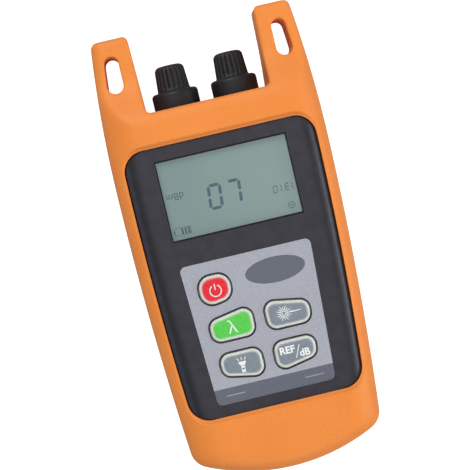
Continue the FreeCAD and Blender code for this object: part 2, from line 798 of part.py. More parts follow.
def port_cap(x):
    # rubber dust cap in one piece: smooth collar, tapered ribbed tip, blind inside
    foot_y = case_top_y + cap_seat_gap
    collar_y = foot_y + cap_collar_length
    tip_y = collar_y + cap_tip_length
    outside = Part.Face(cap_profile(foot_y, collar_y, tip_y)).revolve(Vec(0, 0, 0), Vec(0, 1, 0), 360)
    ring_room = port_ring_length - cap_seat_gap + cap_bore_gap
    barrel_room = ring_room + port_barrel_length
    rooms = [cylinder_y(port_ring_radius + cap_fit, ring_room, 0, foot_y, 0),
             cylinder_y(port_barrel_radius + cap_bore_gap, barrel_room, 0, foot_y, 0)]
    cap = outside.cut(Part.makeCompound(cap_grooves(collar_y))).cut(fuse_all(rooms))
    cap.translate(Vec(x, 0, parting_z))
    return cap


def lamp_lens():
    # lens in the end wall, its domed face just proud of it
    start_y = inner_top_y
    edge_y = start_y + lens_length - lens_dome
    rim, crown = Vec(lens_radius, edge_y, 0), Vec(0, edge_y + lens_dome, 0)
    dome_radius = (lens_radius ** 2 + lens_dome ** 2) / (2 * lens_dome)
    edges = [line(Vec(0, start_y, 0), Vec(lens_radius, start_y, 0)),
             line(Vec(lens_radius, start_y, 0), rim),
             arc(rim, crown, crown - Vec(0, dome_radius, 0)),
             line(crown, Vec(0, start_y, 0))]
    lens = Part.Face(Part.Wire(edges)).revolve(Vec(0, 0, 0), Vec(0, 1, 0), 360)
    lens.translate(Vec(0, 0, parting_z))
    return lens


def lamp_led():
    start_y = inner_top_y - lamp_length
    body = cylinder_y(lamp_radius, lamp_length, 0, start_y, parting_z)
    foot = cylinder_y(lamp_foot_radius, lamp_foot, 0, start_y, parting_z)
    return body.fuse(foot).removeSplitter()


def cell_places():
    first = -(cell_count - 1) * (2 * cell_radius + cell_gap) / 2
    return [first + index * (2 * cell_radius + cell_gap) for index in range(cell_count)]


def cell_turn(index):
    # neighbouring cells lie opposite ways round
    return 1 if index % 2 == 0 else -1


def cell(index, x):
    length = cell_length + cell_nub_length
    start_y = bay_low_y + plate_thickness if cell_turn(index) < 0 else bay_high_y - plate_thickness - length
    body_y = start_y + (cell_nub_length if cell_turn(index) < 0 else 0)
    nub_y = start_y if cell_turn(index) < 0 else start_y + cell_length
    body = cylinder_y(cell_radius, cell_length, x, body_y, cell_z)
    nub = cylinder_y(cell_nub_radius, cell_nub_length, x, nub_y, cell_z)
    return body.fuse(nub).removeSplitter()


def contact_plates():
    plates = []
    for index, x in enumerate(cell_places()):
        y = bay_low_y if cell_turn(index) < 0 else bay_high_y - plate_thickness
        plates.append(box(x - plate_half_width, x + plate_half_width, y, y + plate_thickness,
                          cell_z - plate_height / 2, cell_z + plate_height / 2))
    return Part.makeCompound(plates)


def contact_springs():
    # bent strips that press on the flat end of each cell
    springs = []
    for index, x in enumerate(cell_places()):
        turn = cell_turn(index)
        wall_y = bay_low_y if turn > 0 else bay_high_y
        reach = bay_length - cell_length - cell_nub_length - plate_thickness
        half = plate_height / 2
        points = [(0, -half), (spring_thickness, -half), (reach, 0), (spring_thickness, half),
                  (0, half), (0, half - spring_thickness), (reach - 2 * spring_thickness, 0),
                  (0, spring_thickness - half), (0, -half)]
        wire = Part.makePolygon([Vec(x - plate_half_width, wall_y + turn * y, cell_z + z)
                                 for y, z in points])
        springs.append(Part.Face(wire).extrude(Vec(2 * plate_half_width, 0, 0)))
    return Part.makeCompound(springs)


def build():
    nodes["protective_boot"] = protective_boot()
    nodes["front_cover"] = front_cover()
    nodes["rear_cover"] = rear_cover()
    nodes["display_window"] = display_window()
    nodes["display_panel"] = display_panel()
    nodes["display_backlight"] = display_backlight()
    nodes["keypad_overlay"] = keypad_overlay()
    for name, (corners, radius) in key_layout().items():
        nodes[name] = key(corners, radius)
    nodes["key_mat"] = key_mat()
    nodes["main_board"] = main_board()
    nodes["board_chips"] = board_chips()
    nodes["board_screws"] = board_screws()
    nodes["case_screws"] = case_screws()
    for name, x, radius, length in (("detector", -port_x, detector_radius, detector_length),
                                    ("laser", port_x, laser_radius, laser_length)):
        nodes[name + "_adaptor"] = port_adaptor(x)
        nodes[name + "_nut"] = port_nut(x)
        nodes[name + "_module"] = port_module(x, radius, length)
        nodes[name + "_cap"] = port_cap(x)
    nodes["lamp_lens"] = lamp_lens()
    nodes["lamp_led"] = lamp_led()
    nodes["battery_door"] = battery_door()
    for index, x in enumerate(cell_places()):
        nodes["battery_%d" % (index + 1)] = cell(index, x)
    nodes["contact_plates"] = contact_plates()
    nodes["contact_springs"] = contact_springs()


build()
os.makedirs("parts", exist_ok=True)
for name, shape in nodes.items():
    shape.exportStep("parts/%s.step" % name)
    print("%-18s %2d solids %10.1f mm3 %s" % (name, len(shape.Solids), shape.Volume, shape.isValid()))
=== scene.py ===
import math
import bpy
import bmesh
import numpy as np
from mathutils import Matrix, Vector


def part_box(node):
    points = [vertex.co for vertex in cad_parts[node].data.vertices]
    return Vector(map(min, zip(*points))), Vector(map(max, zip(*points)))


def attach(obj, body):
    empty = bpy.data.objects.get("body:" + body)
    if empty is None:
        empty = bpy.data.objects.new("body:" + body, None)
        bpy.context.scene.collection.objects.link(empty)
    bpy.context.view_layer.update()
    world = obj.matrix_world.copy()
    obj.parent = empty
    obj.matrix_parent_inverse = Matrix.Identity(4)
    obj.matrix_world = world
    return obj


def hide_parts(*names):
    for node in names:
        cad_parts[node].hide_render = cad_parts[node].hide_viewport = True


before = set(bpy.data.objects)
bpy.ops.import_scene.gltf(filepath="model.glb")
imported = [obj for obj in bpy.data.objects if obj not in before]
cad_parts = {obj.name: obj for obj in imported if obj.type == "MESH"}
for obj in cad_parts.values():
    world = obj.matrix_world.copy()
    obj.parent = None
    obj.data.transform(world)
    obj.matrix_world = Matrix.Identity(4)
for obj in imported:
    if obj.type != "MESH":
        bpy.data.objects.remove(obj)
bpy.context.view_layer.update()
scene = bpy.context.scene
scene.view_settings.view_transform = "Standard"
toMetres = 0.001


def boxInMm(node):
    # the two opposite corners of a node's box
    low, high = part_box(node)
    return np.array(low) / toMetres, np.array(high) / toMetres


class Shade:
    # a shader socket on which maths can be done
    def __init__(self, tree, socket=None):
        self.tree, self.socket = tree, socket

    def node(self, kind, settings=None, inputs=None, output=0):
        # any other node: its settings first, then the values or links of its sockets
        made = self.tree.nodes.new("ShaderNode" + kind)
        for name, value in (settings or {}).items():
            setattr(made, name, value)
        for name, value in (inputs or {}).items():
            if isinstance(value, Shade):
                self.tree.links.new(value.socket, made.inputs[name])
            else:
                made.inputs[name].default_value = value
        return Shade(self.tree, made.outputs[output])

    def math(self, operation, first, second=0.0):
        return self.node("Math", {"operation": operation}, {0: first, 1: second})

    def __add__(self, other):
        return self.math("ADD", self, other)

    def __sub__(self, other):
        return self.math("SUBTRACT", self, other)

    def __rsub__(self, other):
        return self.math("SUBTRACT", other, self)

    def __mul__(self, other):
        return self.math("MULTIPLY", self, other)

    def __truediv__(self, other):
        return self.math("DIVIDE", self, other)

    __radd__, __rmul__ = __add__, __mul__

    def size(self):
        return self.math("ABSOLUTE", self)

    def larger(self, other):
        return self.math("MAXIMUM", self, other)

    def rise(self, start, end):
        # 0 below start and 1 above end, eased in between
        ends = {"Value": self, "From Min": start, "From Max": end}
        return self.node("MapRange", {"interpolation_type": "SMOOTHSTEP"}, ends)

    def edge(self, at, softness):
        # 0 below one value and 1 above it, eased over the softness on both sides
        return self.rise(at - softness, at + softness)

    def blend(self, first, second):
        # first colour where this is 0, second where it is 1
        return self.node("Mix", {"data_type": "RGBA"}, {0: self, 6: first, 7: second}, 2)

    def part(self, index):
        return self.node("SeparateXYZ", None, {0: self}, index)

    def noise(self, scale, detail=2.0, roughness=0.5):
        look = {"Vector": self, "Scale": scale, "Detail": detail, "Roughness": roughness}
        return self.node("TexNoise", None, look)

    def speckle(self, scale):
        return self.node("TexVoronoi", None, {"Vector": self, "Scale": scale})


finishes = {}


def colour(red, green, blue, level=1):
    # screen values 0 to 255 as linear light, all scaled by the level
    values = np.array([red, green, blue]) / 255
    linear = np.where(values <= 0.04045, values / 12.92, ((values + 0.055) / 1.055) ** 2.4)
    return (*(linear * level).tolist(), 1.0)


def material(name, paint, roughness=0.5, bump=None, bumpDepth=0.02, alpha=None, glow=None, **fixed):
    # paint, bump, alpha and glow are given the place on the object and return a colour or a value,
    # roughness is a number or does the same, and bumpDepth is in mm
    made = bpy.data.materials.new(name)
    made.use_nodes = True
    tree = made.node_tree
    shader = tree.nodes["Principled BSDF"]
    for socket, value in fixed.items():
        shader.inputs[socket.replace("_", " ")].default_value = value
    place = Shade(tree).node("TexCoord", output="Object")
    painters = {"Base Color": paint, "Alpha": alpha, "Emission Color": glow}
    if callable(roughness):
        painters["Roughness"] = roughness
    else:
        shader.inputs["Roughness"].default_value = roughness
    for socket, painter in painters.items():
        if painter:
            tree.links.new(painter(place).socket, shader.inputs[socket])
    if bump:
        relief = {"Strength": 1.0, "Distance": bumpDepth * toMetres, "Height": bump(place)}
        tree.links.new(place.node("Bump", None, relief).socket, shader.inputs["Normal"])
    finishes[name] = made
    return made


def mottled(first, second, broad=35.0, fine=900.0):
    # two close colours mixed by broad clouds and a fine grain
    def paint(place):
        share = place.noise(broad, 3.0) * 0.6 + place.noise(fine, 2.0) * 0.4
        return share.rise(0.35, 0.65).blend(colour(*first), colour(*second))
    return paint


def grain(scale, share=0.35):
    # height of a fine texture: a noise with a share of small cells
    return lambda place: place.noise(scale, 3.0, 0.6) * (1 - share) + place.speckle(scale * 0.6) * share


def uneven(scale, spread, least, detail=3.0):
    # roughness that wanders up from its least value by a noise times the spread
    return lambda place: place.noise(scale, detail) * spread + least


def inMm(place):
    # across and along the object
    return [place.part(axis) / toMetres for axis in range(2)]


overlayPrint = dict(
    badgeCentre=(10.9, -12.4), badgeHalf=(12.75, 5.4), badgeSoftness=0.015, stripTop=-56.22,
    lineX=16.9, lineY=-59.5, lineHalfLength=4.0, lineHalfHeight=0.2, lineStrength=0.75, softness=0.1,
    field=((154, 157, 168), (172, 174, 185)), printed=((89, 94, 107), (101, 106, 119)), line=(172, 175, 186))


def overlayPaint(place):
    # printed film: pale field, darker strip at the foot with two thin lines, bare oval badge
    look = overlayPrint
    x, y = inMm(place)
    sparkle = place.speckle(2600.0).rise(0.1, 0.75) * 0.5 + place.noise(1500.0, 2.0) * 0.5
    share = sparkle.rise(0.2, 0.8)
    field = share.blend(*[colour(*tone) for tone in look["field"]])
    printed = share.blend(*[colour(*tone) for tone in look["printed"]])
    across = (x - look["badgeCentre"][0]) / look["badgeHalf"][0]
    along = (y - look["badgeCentre"][1]) / look["badgeHalf"][1]
    badge = 1 - (across * across + along * along).edge(1, look["badgeSoftness"])
    strip = 1 - y.edge(look["stripTop"], look["softness"])
    lineHeight = 1 - (y - look["lineY"]).size().edge(look["lineHalfHeight"], look["softness"])
    lineReach = 1 - (x.size() - look["lineX"]).size().edge(look["lineHalfLength"], look["softness"])
    dark = badge.larger(strip).blend(field, printed)
    return (lineHeight * lineReach * look["lineStrength"]).blend(dark, colour(*look["line"]))


# where the face gives way to the painted shade of the rolled sides, and where that gives way to the painted
# reflection at their steep edge
caseLook = dict(faceRise=(0.962, 0.998), shadeToReflectionRise=(0.885, 0.945))


def casePaint(place):
    # textured face, painted shade as a deeper band where the side rolls over, and a painted reflection,
    # paler again, at its steep edge: the upward part of the surface's direction picks between the three
    upward = place.node("NewGeometry", output="Normal").part(2)
    share = place.noise(260.0, 3.0).rise(0.35, 0.65)
    face = share.blend(colour(43, 41, 50), colour(49, 47, 56))
    # painted shade and painted reflection, standing in for how light falls on the rolled side
    paintedShade = share.blend(colour(22, 22, 29), colour(27, 27, 34))
    paintedReflection = share.blend(colour(45, 50, 63), colour(51, 56, 69))
    faceWithShade = upward.rise(*caseLook["faceRise"]).blend(paintedShade, face)
    return upward.rise(*caseLook["shadeToReflectionRise"]).blend(paintedReflection, faceWithShade)


def padPaint(red, green, blue):
    # pale rim of a key round its coloured pad, both a shade uneven
    centre = np.array([red, green, blue])

    def paint(place):
        pad = place.node("Attribute", {"attribute_name": "padShare"}, None, 2)
        share = place.noise(700.0, 2.0).rise(0.3, 0.7)
        rimColour = share.blend(colour(204, 207, 200), colour(216, 219, 212))
        padColour = share.blend(colour(*(centre - 5)), colour(*(centre + 4)))
        return pad.blend(rimColour, padColour)
    return paint


# the glass's tones: the lighter right one is painted light, the darker top one painted shade under the
# window's top edge
displayLook = dict(
    leftTone=(118, 150, 147), rightTone=(135, 162, 158), topTone=(96, 116, 114),
    left=-28.0, right=34.0, wander=8.0, topShade=(39.0, 42.4), topStrength=0.18)


def glassPaint(level):
    # display glass: grey-green, with painted light making it slightly lighter to the right and painted shade
    # darker along its top edge
    look = displayLook

    def paint(place):
        x, y = inMm(place)
        across = x - look["left"] + place.noise(60.0, 2.0) * look["wander"]
        # painted light: a share that grows towards the right
        paintedLightShare = across.rise(0, look["right"] - look["left"])
        field = paintedLightShare.blend(colour(*look["leftTone"], level), colour(*look["rightTone"], level))
        # painted shade along the top edge, under the window's rim
        top = y.rise(*look["topShade"]) * look["topStrength"]
        return top.blend(field, colour(*look["topTone"], level))
    return paint


paneLow, paneHigh = boxInMm("display_window")
# the dark line round the window is painted shadow of the bezel's inner edge, widest at the top and thinnest
# on the right
windowAndShadowLine = dict(
    flange=1.2, top=0.8, foot=0.7, left=0.55, right=0.4, softness=0.08,
    clearTone=(226, 234, 232), lineTone=(20, 21, 24), clearAlpha=0.05, lineAlpha=0.88)


def paintedEdgeShadow(place):
    # 1 on the dark line of painted shadow round the window, 0 inside it: on each side, how far a point lies
    # past the line's inner edge, and the largest of the four
    x, y = inMm(place)
    top = (y - paneHigh[1]) + (windowAndShadowLine["flange"] + windowAndShadowLine["top"])
    foot = (paneLow[1] - y) + (windowAndShadowLine["flange"] + windowAndShadowLine["foot"])
    left = (paneLow[0] - x) + (windowAndShadowLine["flange"] + windowAndShadowLine["left"])
    right = (x - paneHigh[0]) + (windowAndShadowLine["flange"] + windowAndShadowLine["right"])
    return top.larger(foot).larger(left.larger(right)).edge(0, windowAndShadowLine["softness"])


def windowPaint(place):
    # clear glass, black on the painted shadow line
    return paintedEdgeShadow(place).blend(colour(*windowAndShadowLine["clearTone"]), colour(*windowAndShadowLine["lineTone"]))


def windowAlpha(place):
    # nearly clear with faint clouds, nearly solid on the painted shadow line
    clear = place.noise(90.0, 2.0) * 0.02 + windowAndShadowLine["clearAlpha"]
    return paintedEdgeShadow(place) * windowAndShadowLine["lineAlpha"] + clear


sleeveEnd = -40.0


def sleevePaint(place):
    # battery sleeve: dark grey below its end mark, copper-coloured above it
    along = place.part(1) / toMetres
    return along.edge(sleeveEnd, 0.2).blend(colour(60, 62, 66), colour(182, 132, 62))


# the boot and the case
material("bootRubber", mottled((237, 138, 60), (242, 144, 66)), uneven(160.0, 0.12, 0.41),
         grain(2300.0), 0.012, Specular_IOR_Level=0.24)
# the case's own colour, with painted shade and a painted reflection on its rolled sides
material("casePlasticPaintedShade", casePaint, uneven(220.0, 0.1, 0.36), grain(3000.0, 0.5), 0.012)
material("rearPlastic", mottled((52, 51, 59), (60, 58, 67)), uneven(220.0, 0.14, 0.44),
         grain(2200.0, 0.5), 0.035)
material("capRubber", mottled((25, 24, 29), (31, 30, 35)), uneven(240.0, 0.14, 0.44),
         grain(2400.0), 0.02, Specular_IOR_Level=0.38)

# the display
# clear plastic with the painted shadow line round its edge
material("windowPlasticShadowLine", windowPaint, uneven(90.0, 0.04, 0.04, 2.0), alpha=windowAlpha)
# colour and glow both carry that painted light and shade; the glow is painted light too: it lifts the glass
# evenly, as a backlight would, and fills the shadow under the window's edge
material("lcdGlassPaintedLight", glassPaint(0.32), 0.32, grain(2600.0, 0.2), 0.004,
         glow=glassPaint(1), Emission_Strength=0.45)
material("lcdInk", mottled((2, 64, 84), (8, 72, 92)), 0.4, Specular_IOR_Level=0.2)
material("lcdFaint", mottled((46, 78, 88), (54, 86, 96)), 0.4)
material("backlightPlastic", mottled((226, 230, 214), (236, 239, 226)), 0.35)

# the keypad
material("overlayFilm", overlayPaint, 0.42, grain(3200.0, 0.4), 0.006)
material("keyRed", padPaint(231, 36, 50), 0.35, grain(1800.0), 0.006)
material("keyGreen", padPaint(88, 205, 78), 0.35, grain(1800.0), 0.006)
material("keyGrey", padPaint(128, 138, 148), 0.35, grain(1800.0), 0.006)
material("legendInk", mottled((236, 240, 240), (246, 248, 248)), 0.45)
material("outlineBlack", mottled((10, 11, 15), (15, 16, 20)), 0.45, Specular_IOR_Level=0.3)
material("matSilicone", mottled((196, 198, 200), (208, 210, 212)), 0.5, grain(1800.0), 0.01)

# the inside and the ports
material("boardLaminate", mottled((22, 92, 58), (30, 108, 68), 60.0, 1600.0), 0.42, grain(2600.0), 0.01)
material("chipResin", mottled((28, 28, 30), (36, 36, 38)), 0.5, grain(3200.0), 0.01)
material("steel", mottled((176, 178, 182), (192, 194, 198)), uneven(500.0, 0.16, 0.24),
         grain(2600.0), 0.004, Metallic=1.0)
material("nickel", mottled((196, 192, 182), (208, 205, 196)), uneven(420.0, 0.12, 0.18),
         grain(1500.0), 0.002, Metallic=1.0)
material("moduleMetal", mottled((204, 186, 132), (214, 197, 146)), uneven(420.0, 0.12, 0.2),
         grain(1500.0), 0.002, Metallic=1.0)
material("lensClear", mottled((232, 238, 242), (240, 244, 246)), uneven(300.0, 0.04, 0.06, 2.0), Alpha=0.45)
material("ledResin", mottled((232, 232, 210), (240, 240, 222)), 0.2, grain(900.0), 0.002)
material("cellSleeve", sleevePaint, uneven(300.0, 0.12, 0.24, 2.0), grain(1500.0), 0.003)
print("materials: %d" % len(finishes))


def lattice(rows, columns, start, wrap=False):
    # the quads of a grid whose points lie row after row from one index
    across = columns if wrap else columns - 1
    row, column = np.meshgrid(np.arange(rows - 1), np.arange(across), indexing="ij")
    after = (column + 1) % columns
    first, second = start + row * columns, start + (row + 1) * columns
    return np.stack([first + column, first + after, second + after, second + column], -1).reshape(-1, 4)


def meshFrom(name, patches, sharpAngle, wrap=True, mirrored=False, weld=0.004):
    # patches are grids of points in mm, welded along their shared edges into one closed surface
    points, faces, start = [], [], 0
    for patch in patches:
        rows, columns = patch.shape[:2]
        points.append(patch.reshape(-1, 3))
        faces.append(lattice(rows, columns, start, wrap))
        start += rows * columns
    points, faces = np.concatenate(points), np.concatenate(faces)
    if mirrored:
        faces = np.concatenate([faces, faces[:, ::-1] + len(points)])
        points = np.concatenate([points, points * np.array([-1, 1, 1])])
    mesh = bpy.data.meshes.new(name)
    mesh.from_pydata((points * toMetres).tolist(), [], faces.tolist())
    shape = bmesh.new()
    shape.from_mesh(mesh)
    bmesh.ops.remove_doubles(shape, verts=shape.verts, dist=weld * toMetres)
    bmesh.ops.dissolve_degenerate(shape, edges=shape.edges, dist=weld * toMetres)
    bmesh.ops.recalc_face_normals(shape, faces=shape.faces)
    opened = sum(1 for edge in shape.edges if len(edge.link_faces) != 2)
    volume = shape.calc_volume(signed=True)
    shape.to_mesh(mesh)
    shape.free()
    mesh.shade_smooth()
    mesh.set_sharp_from_angle(angle=math.radians(sharpAngle))
    print("%s: %d faces, %d open edges, %.1f cm3" % (name, len(mesh.polygons), opened, volume * 1e6))
    piece = bpy.data.objects.new(name, mesh)
    scene.collection.objects.link(piece)
    return piece


def dress(piece, body, finish, slotName, *nodes):
    # gives a new piece its finish and the body it rides on, and hides the nodes that it stands for; the
    # slot's name is not used
    piece.data.materials.clear()
    piece.data.materials.append(finishes[finish])
    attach(piece, body)
    if nodes:
        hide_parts(*nodes)
    return piece


# the boot: one rubber moulding, its skin worked out over the front view
bootLow, bootHigh = boxInMm("protective_boot")
capLow, capHigh = boxInMm("detector_cap")
caseTop, caseFront = boxInMm("front_cover")[1][1:]
caseBack = boxInMm("rear_cover")[0][2]

boot = dict(
    # its outline: sides bowed about a shoulder, a bowed lower end, rounded corners between them
    halfWidth=bootHigh[0], endY=bootLow[1], tipY=bootHigh[1], frontZ=bootHigh[2], shoulderY=36.0,
    lowerRadius=1378.0, upperRadius=503.0, bowRadius=84.0, corner=8.0,
    # how far in its own edges roll over, then where the cavity lies and how that rolls over
    frontRoll=14.5, backRoll=9.0, endRoll=8.0,
    caseSide=3.1, caseEnd=3.6, caseFrontRoll=12.1, caseBackRoll=8.1, caseEndRoll=6.1, skinGap=0.1,
    # the slope down to the ears, the ears' tips and the notch between them
    baseY=57.0, slopeLength=23.0, earFrontZ=27.4, earBackZ=8.6, creaseSoftness=5.0, tipZone=10.0,
    tipCornerOuter=3.5, tipCornerInner=2.5, notchY=62.5, notchHalf=26.3, notchTipHalf=27.1, notchCorner=2.0,
    # the strap slots and the port openings, each between two circles
    slotLow=(36.2, 77.0, 3.45), slotHigh=(35.8, 86.0, 3.0), portRadius=10.5,
    portX=-(capLow[0] + capHigh[0]) / 2, portZ=(capLow[2] + capHigh[2]) / 2,
    # width and height of the soft edges
    earEdge=(2.6, 3.0), notchEdge=(1.3, 1.3), slotEdge=(0.9, 0.9),
    # the two windows, how far the back one's first rows stand in, and the front one's raised lip
    window=dict(inset=5.4, lowY=-67.8, highY=48.1, corner=9.0),
    backWindow=dict(inset=17.0, lowY=-83.0, highY=50.0, corner=4.0), backEdge=(0.5, 0.2),
    lipEnds=1.9, lipSides=1.3, lipDepth=1.75, lipSideDepth=0.35,
    # over what width the rows of each grid crowd towards its edge, and how far in the next ones lie
    rollRows=14.5, ridgeRows=(0.0, 0.25, 0.6), backRows=(0.0, 0.1, 0.3, 0.6), earRows=(1.3, 2.2, 3.2),
    slotRows=(0.9, 1.5), cavityRows=12.0, cavityBend=30.0, shoulderRows=18.0)

# how many points each stretch of the loops has, and how many even rows the faces, ears and cavity have
counts = dict(end=26, corner=14, side=56, shoulder=12, base=12, down=12, top=24, tipSide=24, tipCorner=8,
              tip=8, inner=20, fillet=7, faceRows=10, earRows=16, cavityRows=5)


def cornerCentre(sideInset, endInset, corner):
    # where two circles cross: the bowed side and the bowed end, both moved in by the corner's radius
    hubX, hubY = boot["halfWidth"] - boot["lowerRadius"], boot["shoulderY"]
    across, up = -hubX, boot["endY"] + boot["bowRadius"] - hubY
    apart = math.hypot(across, up)
    sideReach = boot["lowerRadius"] - sideInset - corner
    endReach = boot["bowRadius"] - endInset - corner
    along = (apart ** 2 + sideReach ** 2 - endReach ** 2) / (2 * apart)
    off = np.sqrt(sideReach ** 2 - along ** 2)
    return hubX + (across * along + up * off) / apart, hubY + (up * along - across * off) / apart


def sideRadius(y):
    # the side is one circle below the shoulder and a tighter one above it
    return np.where(y < boot["shoulderY"], boot["lowerRadius"], boot["upperRadius"])


def sideDistance(x, y):
    # how far in a point lies from the bowed side: the circle's radius less the distance from its centre
    radius = sideRadius(y)
    return radius - np.hypot(x - boot["halfWidth"] + radius, y - boot["shoulderY"])


def sideX(y, inset):
    # where the bowed side, moved in by the inset, stands at a height y: a circle solved for x
    radius = sideRadius(y)
    return boot["halfWidth"] - radius + np.sqrt((radius - inset) ** 2 - (y - boot["shoulderY"]) ** 2)


def insideHull(x, y, sideInset, endInset):
    # distance in from the outline drawn at those insets, negative outside it: from the corner's circle
    # within the corner's sector, elsewhere the lesser of the distances from the side and from the end
    cornerX, cornerY = cornerCentre(sideInset, endInset, boot["corner"])
    bowY = boot["endY"] + boot["bowRadius"]
    fromSide = sideDistance(x, y) - sideInset
    fromEnd = boot["bowRadius"] - endInset - np.hypot(x, np.minimum(y - bowY, 0))
    outX, outY = x - cornerX, y - cornerY
    pastEnd = cornerX * outY - (cornerY - bowY) * outX > 0
    towardsSide = cornerX - boot["halfWidth"] + boot["lowerRadius"]
    pastSide = outX * (cornerY - boot["shoulderY"]) - outY * towardsSide > 0
    return np.where(pastEnd & pastSide, boot["corner"] - np.hypot(outX, outY), np.minimum(fromSide, fromEnd))


def rollTurn(x, y, side, end, roll, endRoll):
    # how far round the quarter ellipse of the edge roll a point lies, found by halving the interval
    low, high = np.zeros_like(x), np.full_like(x, math.pi / 2)
    for halving in range(26):
        middle = (low + high) / 2
        inward = 1 - np.cos(middle)
        inside = insideHull(x, y, side + roll * inward, end + endRoll * inward) > 0
        low, high = np.where(inside, middle, low), np.where(inside, high, middle)
    return (low + high) / 2


def ellipseDrop(distance, edge):
    # fall of a quarter-ellipse edge, zero beyond its width
    width, height = edge
    share = np.clip(1 - distance / width, 0, 1)
    return height * (1 - np.sqrt(1 - share ** 2))


def roundedMin(first, second, radius):
    # the lesser of two distances, with a circle of that radius where both are small
    inCorner = (first < radius) & (second < radius)
    return np.where(inCorner, radius - np.hypot(radius - first, radius - second), np.minimum(first, second))


def softMin(first, second, softness):
    # the lesser of two heights, with a parabola taken off where they differ by less than the softness
    near = np.clip(softness - np.abs(first - second), 0, None)
    return np.minimum(first, second) - near ** 2 / (4 * np.maximum(softness, 1e-6))


def capsuleDistance(x, y, low, high):
    # distance outside a slot between two circles: from the nearest point of its centre line, less the
    # radius there
    along = np.array([high[0] - low[0], high[1] - low[1]])
    share = np.clip(((x - low[0]) * along[0] + (y - low[1]) * along[1]) / (along @ along), 0, 1)
    radius = low[2] + (high[2] - low[2]) * share
    return np.hypot(x - low[0] - along[0] * share, y - low[1] - along[1] * share) - radius


def notchLean():
    # how far the notch's side moves out for each mm that it goes up
    return (boot["notchTipHalf"] - boot["notchHalf"]) / (boot["tipY"] - boot["notchY"])


def edgeFalls(x, y):
    # the fall of the ears' soft edges, and that of the notch's and the slots' edges
    fromInner = x - boot["notchHalf"] - notchLean() * (y - boot["notchY"])
    fromTip = boot["tipY"] - y
    outer = roundedMin(sideDistance(x, y), fromTip, boot["tipCornerOuter"])
    innerTip = roundedMin(fromInner, fromTip, boot["tipCornerInner"])
    corner = boot["notchCorner"]
    notch = np.hypot(np.maximum(fromInner + corner, 0), np.maximum(boot["notchY"] - y + corner, 0)) - corner
    slot = capsuleDistance(x, y, boot["slotLow"], boot["slotHigh"])
    tipFall = ellipseDrop(innerTip, boot["notchEdge"]) * (fromTip < boot["tipZone"])
    innerFall = np.maximum(ellipseDrop(notch, boot["notchEdge"]), tipFall)
    return ellipseDrop(outer, boot["earEdge"]), innerFall + ellipseDrop(slot, boot["slotEdge"])


def earShare(y):
    # 0 on the body and 1 on the ears, eased over the slope between them
    share = np.clip((y - boot["baseY"]) / boot["slopeLength"], 0, 1)
    return share ** 2 * (3 - 2 * share)


def frontHeight(x, y):
    # flat face rolled over its sides and end by an ellipse, blended into the lower face of the ears
    turn = rollTurn(x, y, 0, 0, boot["frontRoll"], boot["endRoll"])
    hull = boot["frontZ"] - boot["frontRoll"] * (1 - np.sin(turn))
    share = earShare(y)
    outerFall, innerFall = edgeFalls(x, y)
    top = boot["frontZ"] - (boot["frontZ"] - boot["earFrontZ"]) * share
    return softMin(hull, top - outerFall, boot["creaseSoftness"] * share) - innerFall


def backHeight(x, y):
    # the same from behind, measured up from the table
    turn = rollTurn(x, y, 0, 0, boot["backRoll"], boot["endRoll"])
    hull = boot["backRoll"] * (1 - np.sin(turn))
    share = earShare(y)
    outerFall, innerFall = edgeFalls(x, y)
    return -softMin(-hull, -boot["earBackZ"] * share - outerFall, boot["creaseSoftness"] * share) + innerFall


def caseFall(x, y, roll):
    # how far the case's skin has rolled down, by an ellipse, from its flat face
    turn = rollTurn(x, y, boot["caseSide"], boot["caseEnd"], roll, boot["caseEndRoll"])
    return roll * (1 - np.sin(turn))


def cavityFront(x, y):
    # the cavity's skin, just clear of the front of the case
    return caseFront + boot["skinGap"] - caseFall(x, y, boot["caseFrontRoll"])


def cavityBack(x, y):
    return caseBack - boot["skinGap"] + caseFall(x, y, boot["caseBackRoll"])


def arcPoints(centre, radius, start, end, count):
    # even steps round a circle, with the angles in degrees
    angle = np.radians(np.linspace(start, end, count))
    return np.stack([centre[0] + radius * np.cos(angle), centre[1] + radius * np.sin(angle)], -1)


def straight(xs, y):
    # points at those xs on a line across the boot
    return np.stack([xs, np.full_like(xs, y)], -1)


def sidePoints(ys, inset):
    return np.stack([sideX(ys, inset), ys], -1)


def sideTurn(x, y, radius):
    # the angle at which a point lies from the centre of the side's circle
    return math.degrees(math.atan2(y - boot["shoulderY"], x - boot["halfWidth"] + radius))


def outerLoop(sideInset, endInset, topY, topXs):
    # right half of an outline: bowed end, corner, bowed side, then back along the line y = topY
    corner = boot["corner"]
    cornerX, cornerY = cornerCentre(sideInset, endInset, corner)
    bowY = boot["endY"] + boot["bowRadius"]
    endAngle = math.degrees(math.atan2(cornerY - bowY, cornerX))
    sideAngle = sideTurn(cornerX, cornerY, boot["lowerRadius"])
    bow = arcPoints((0, bowY), boot["bowRadius"] - endInset, -90, endAngle, counts["end"])
    turn = arcPoints((cornerX, cornerY), corner, endAngle, sideAngle, counts["corner"])
    upperY = topY - boot["shoulderRows"]
    side = sidePoints(np.linspace(turn[-1, 1], upperY, counts["side"]), sideInset)
    shoulder = sidePoints(np.linspace(upperY, topY, counts["shoulder"]), sideInset)
    return np.concatenate([bow, turn[1:], side[1:], shoulder[1:], straight(topXs, topY)[1:]])


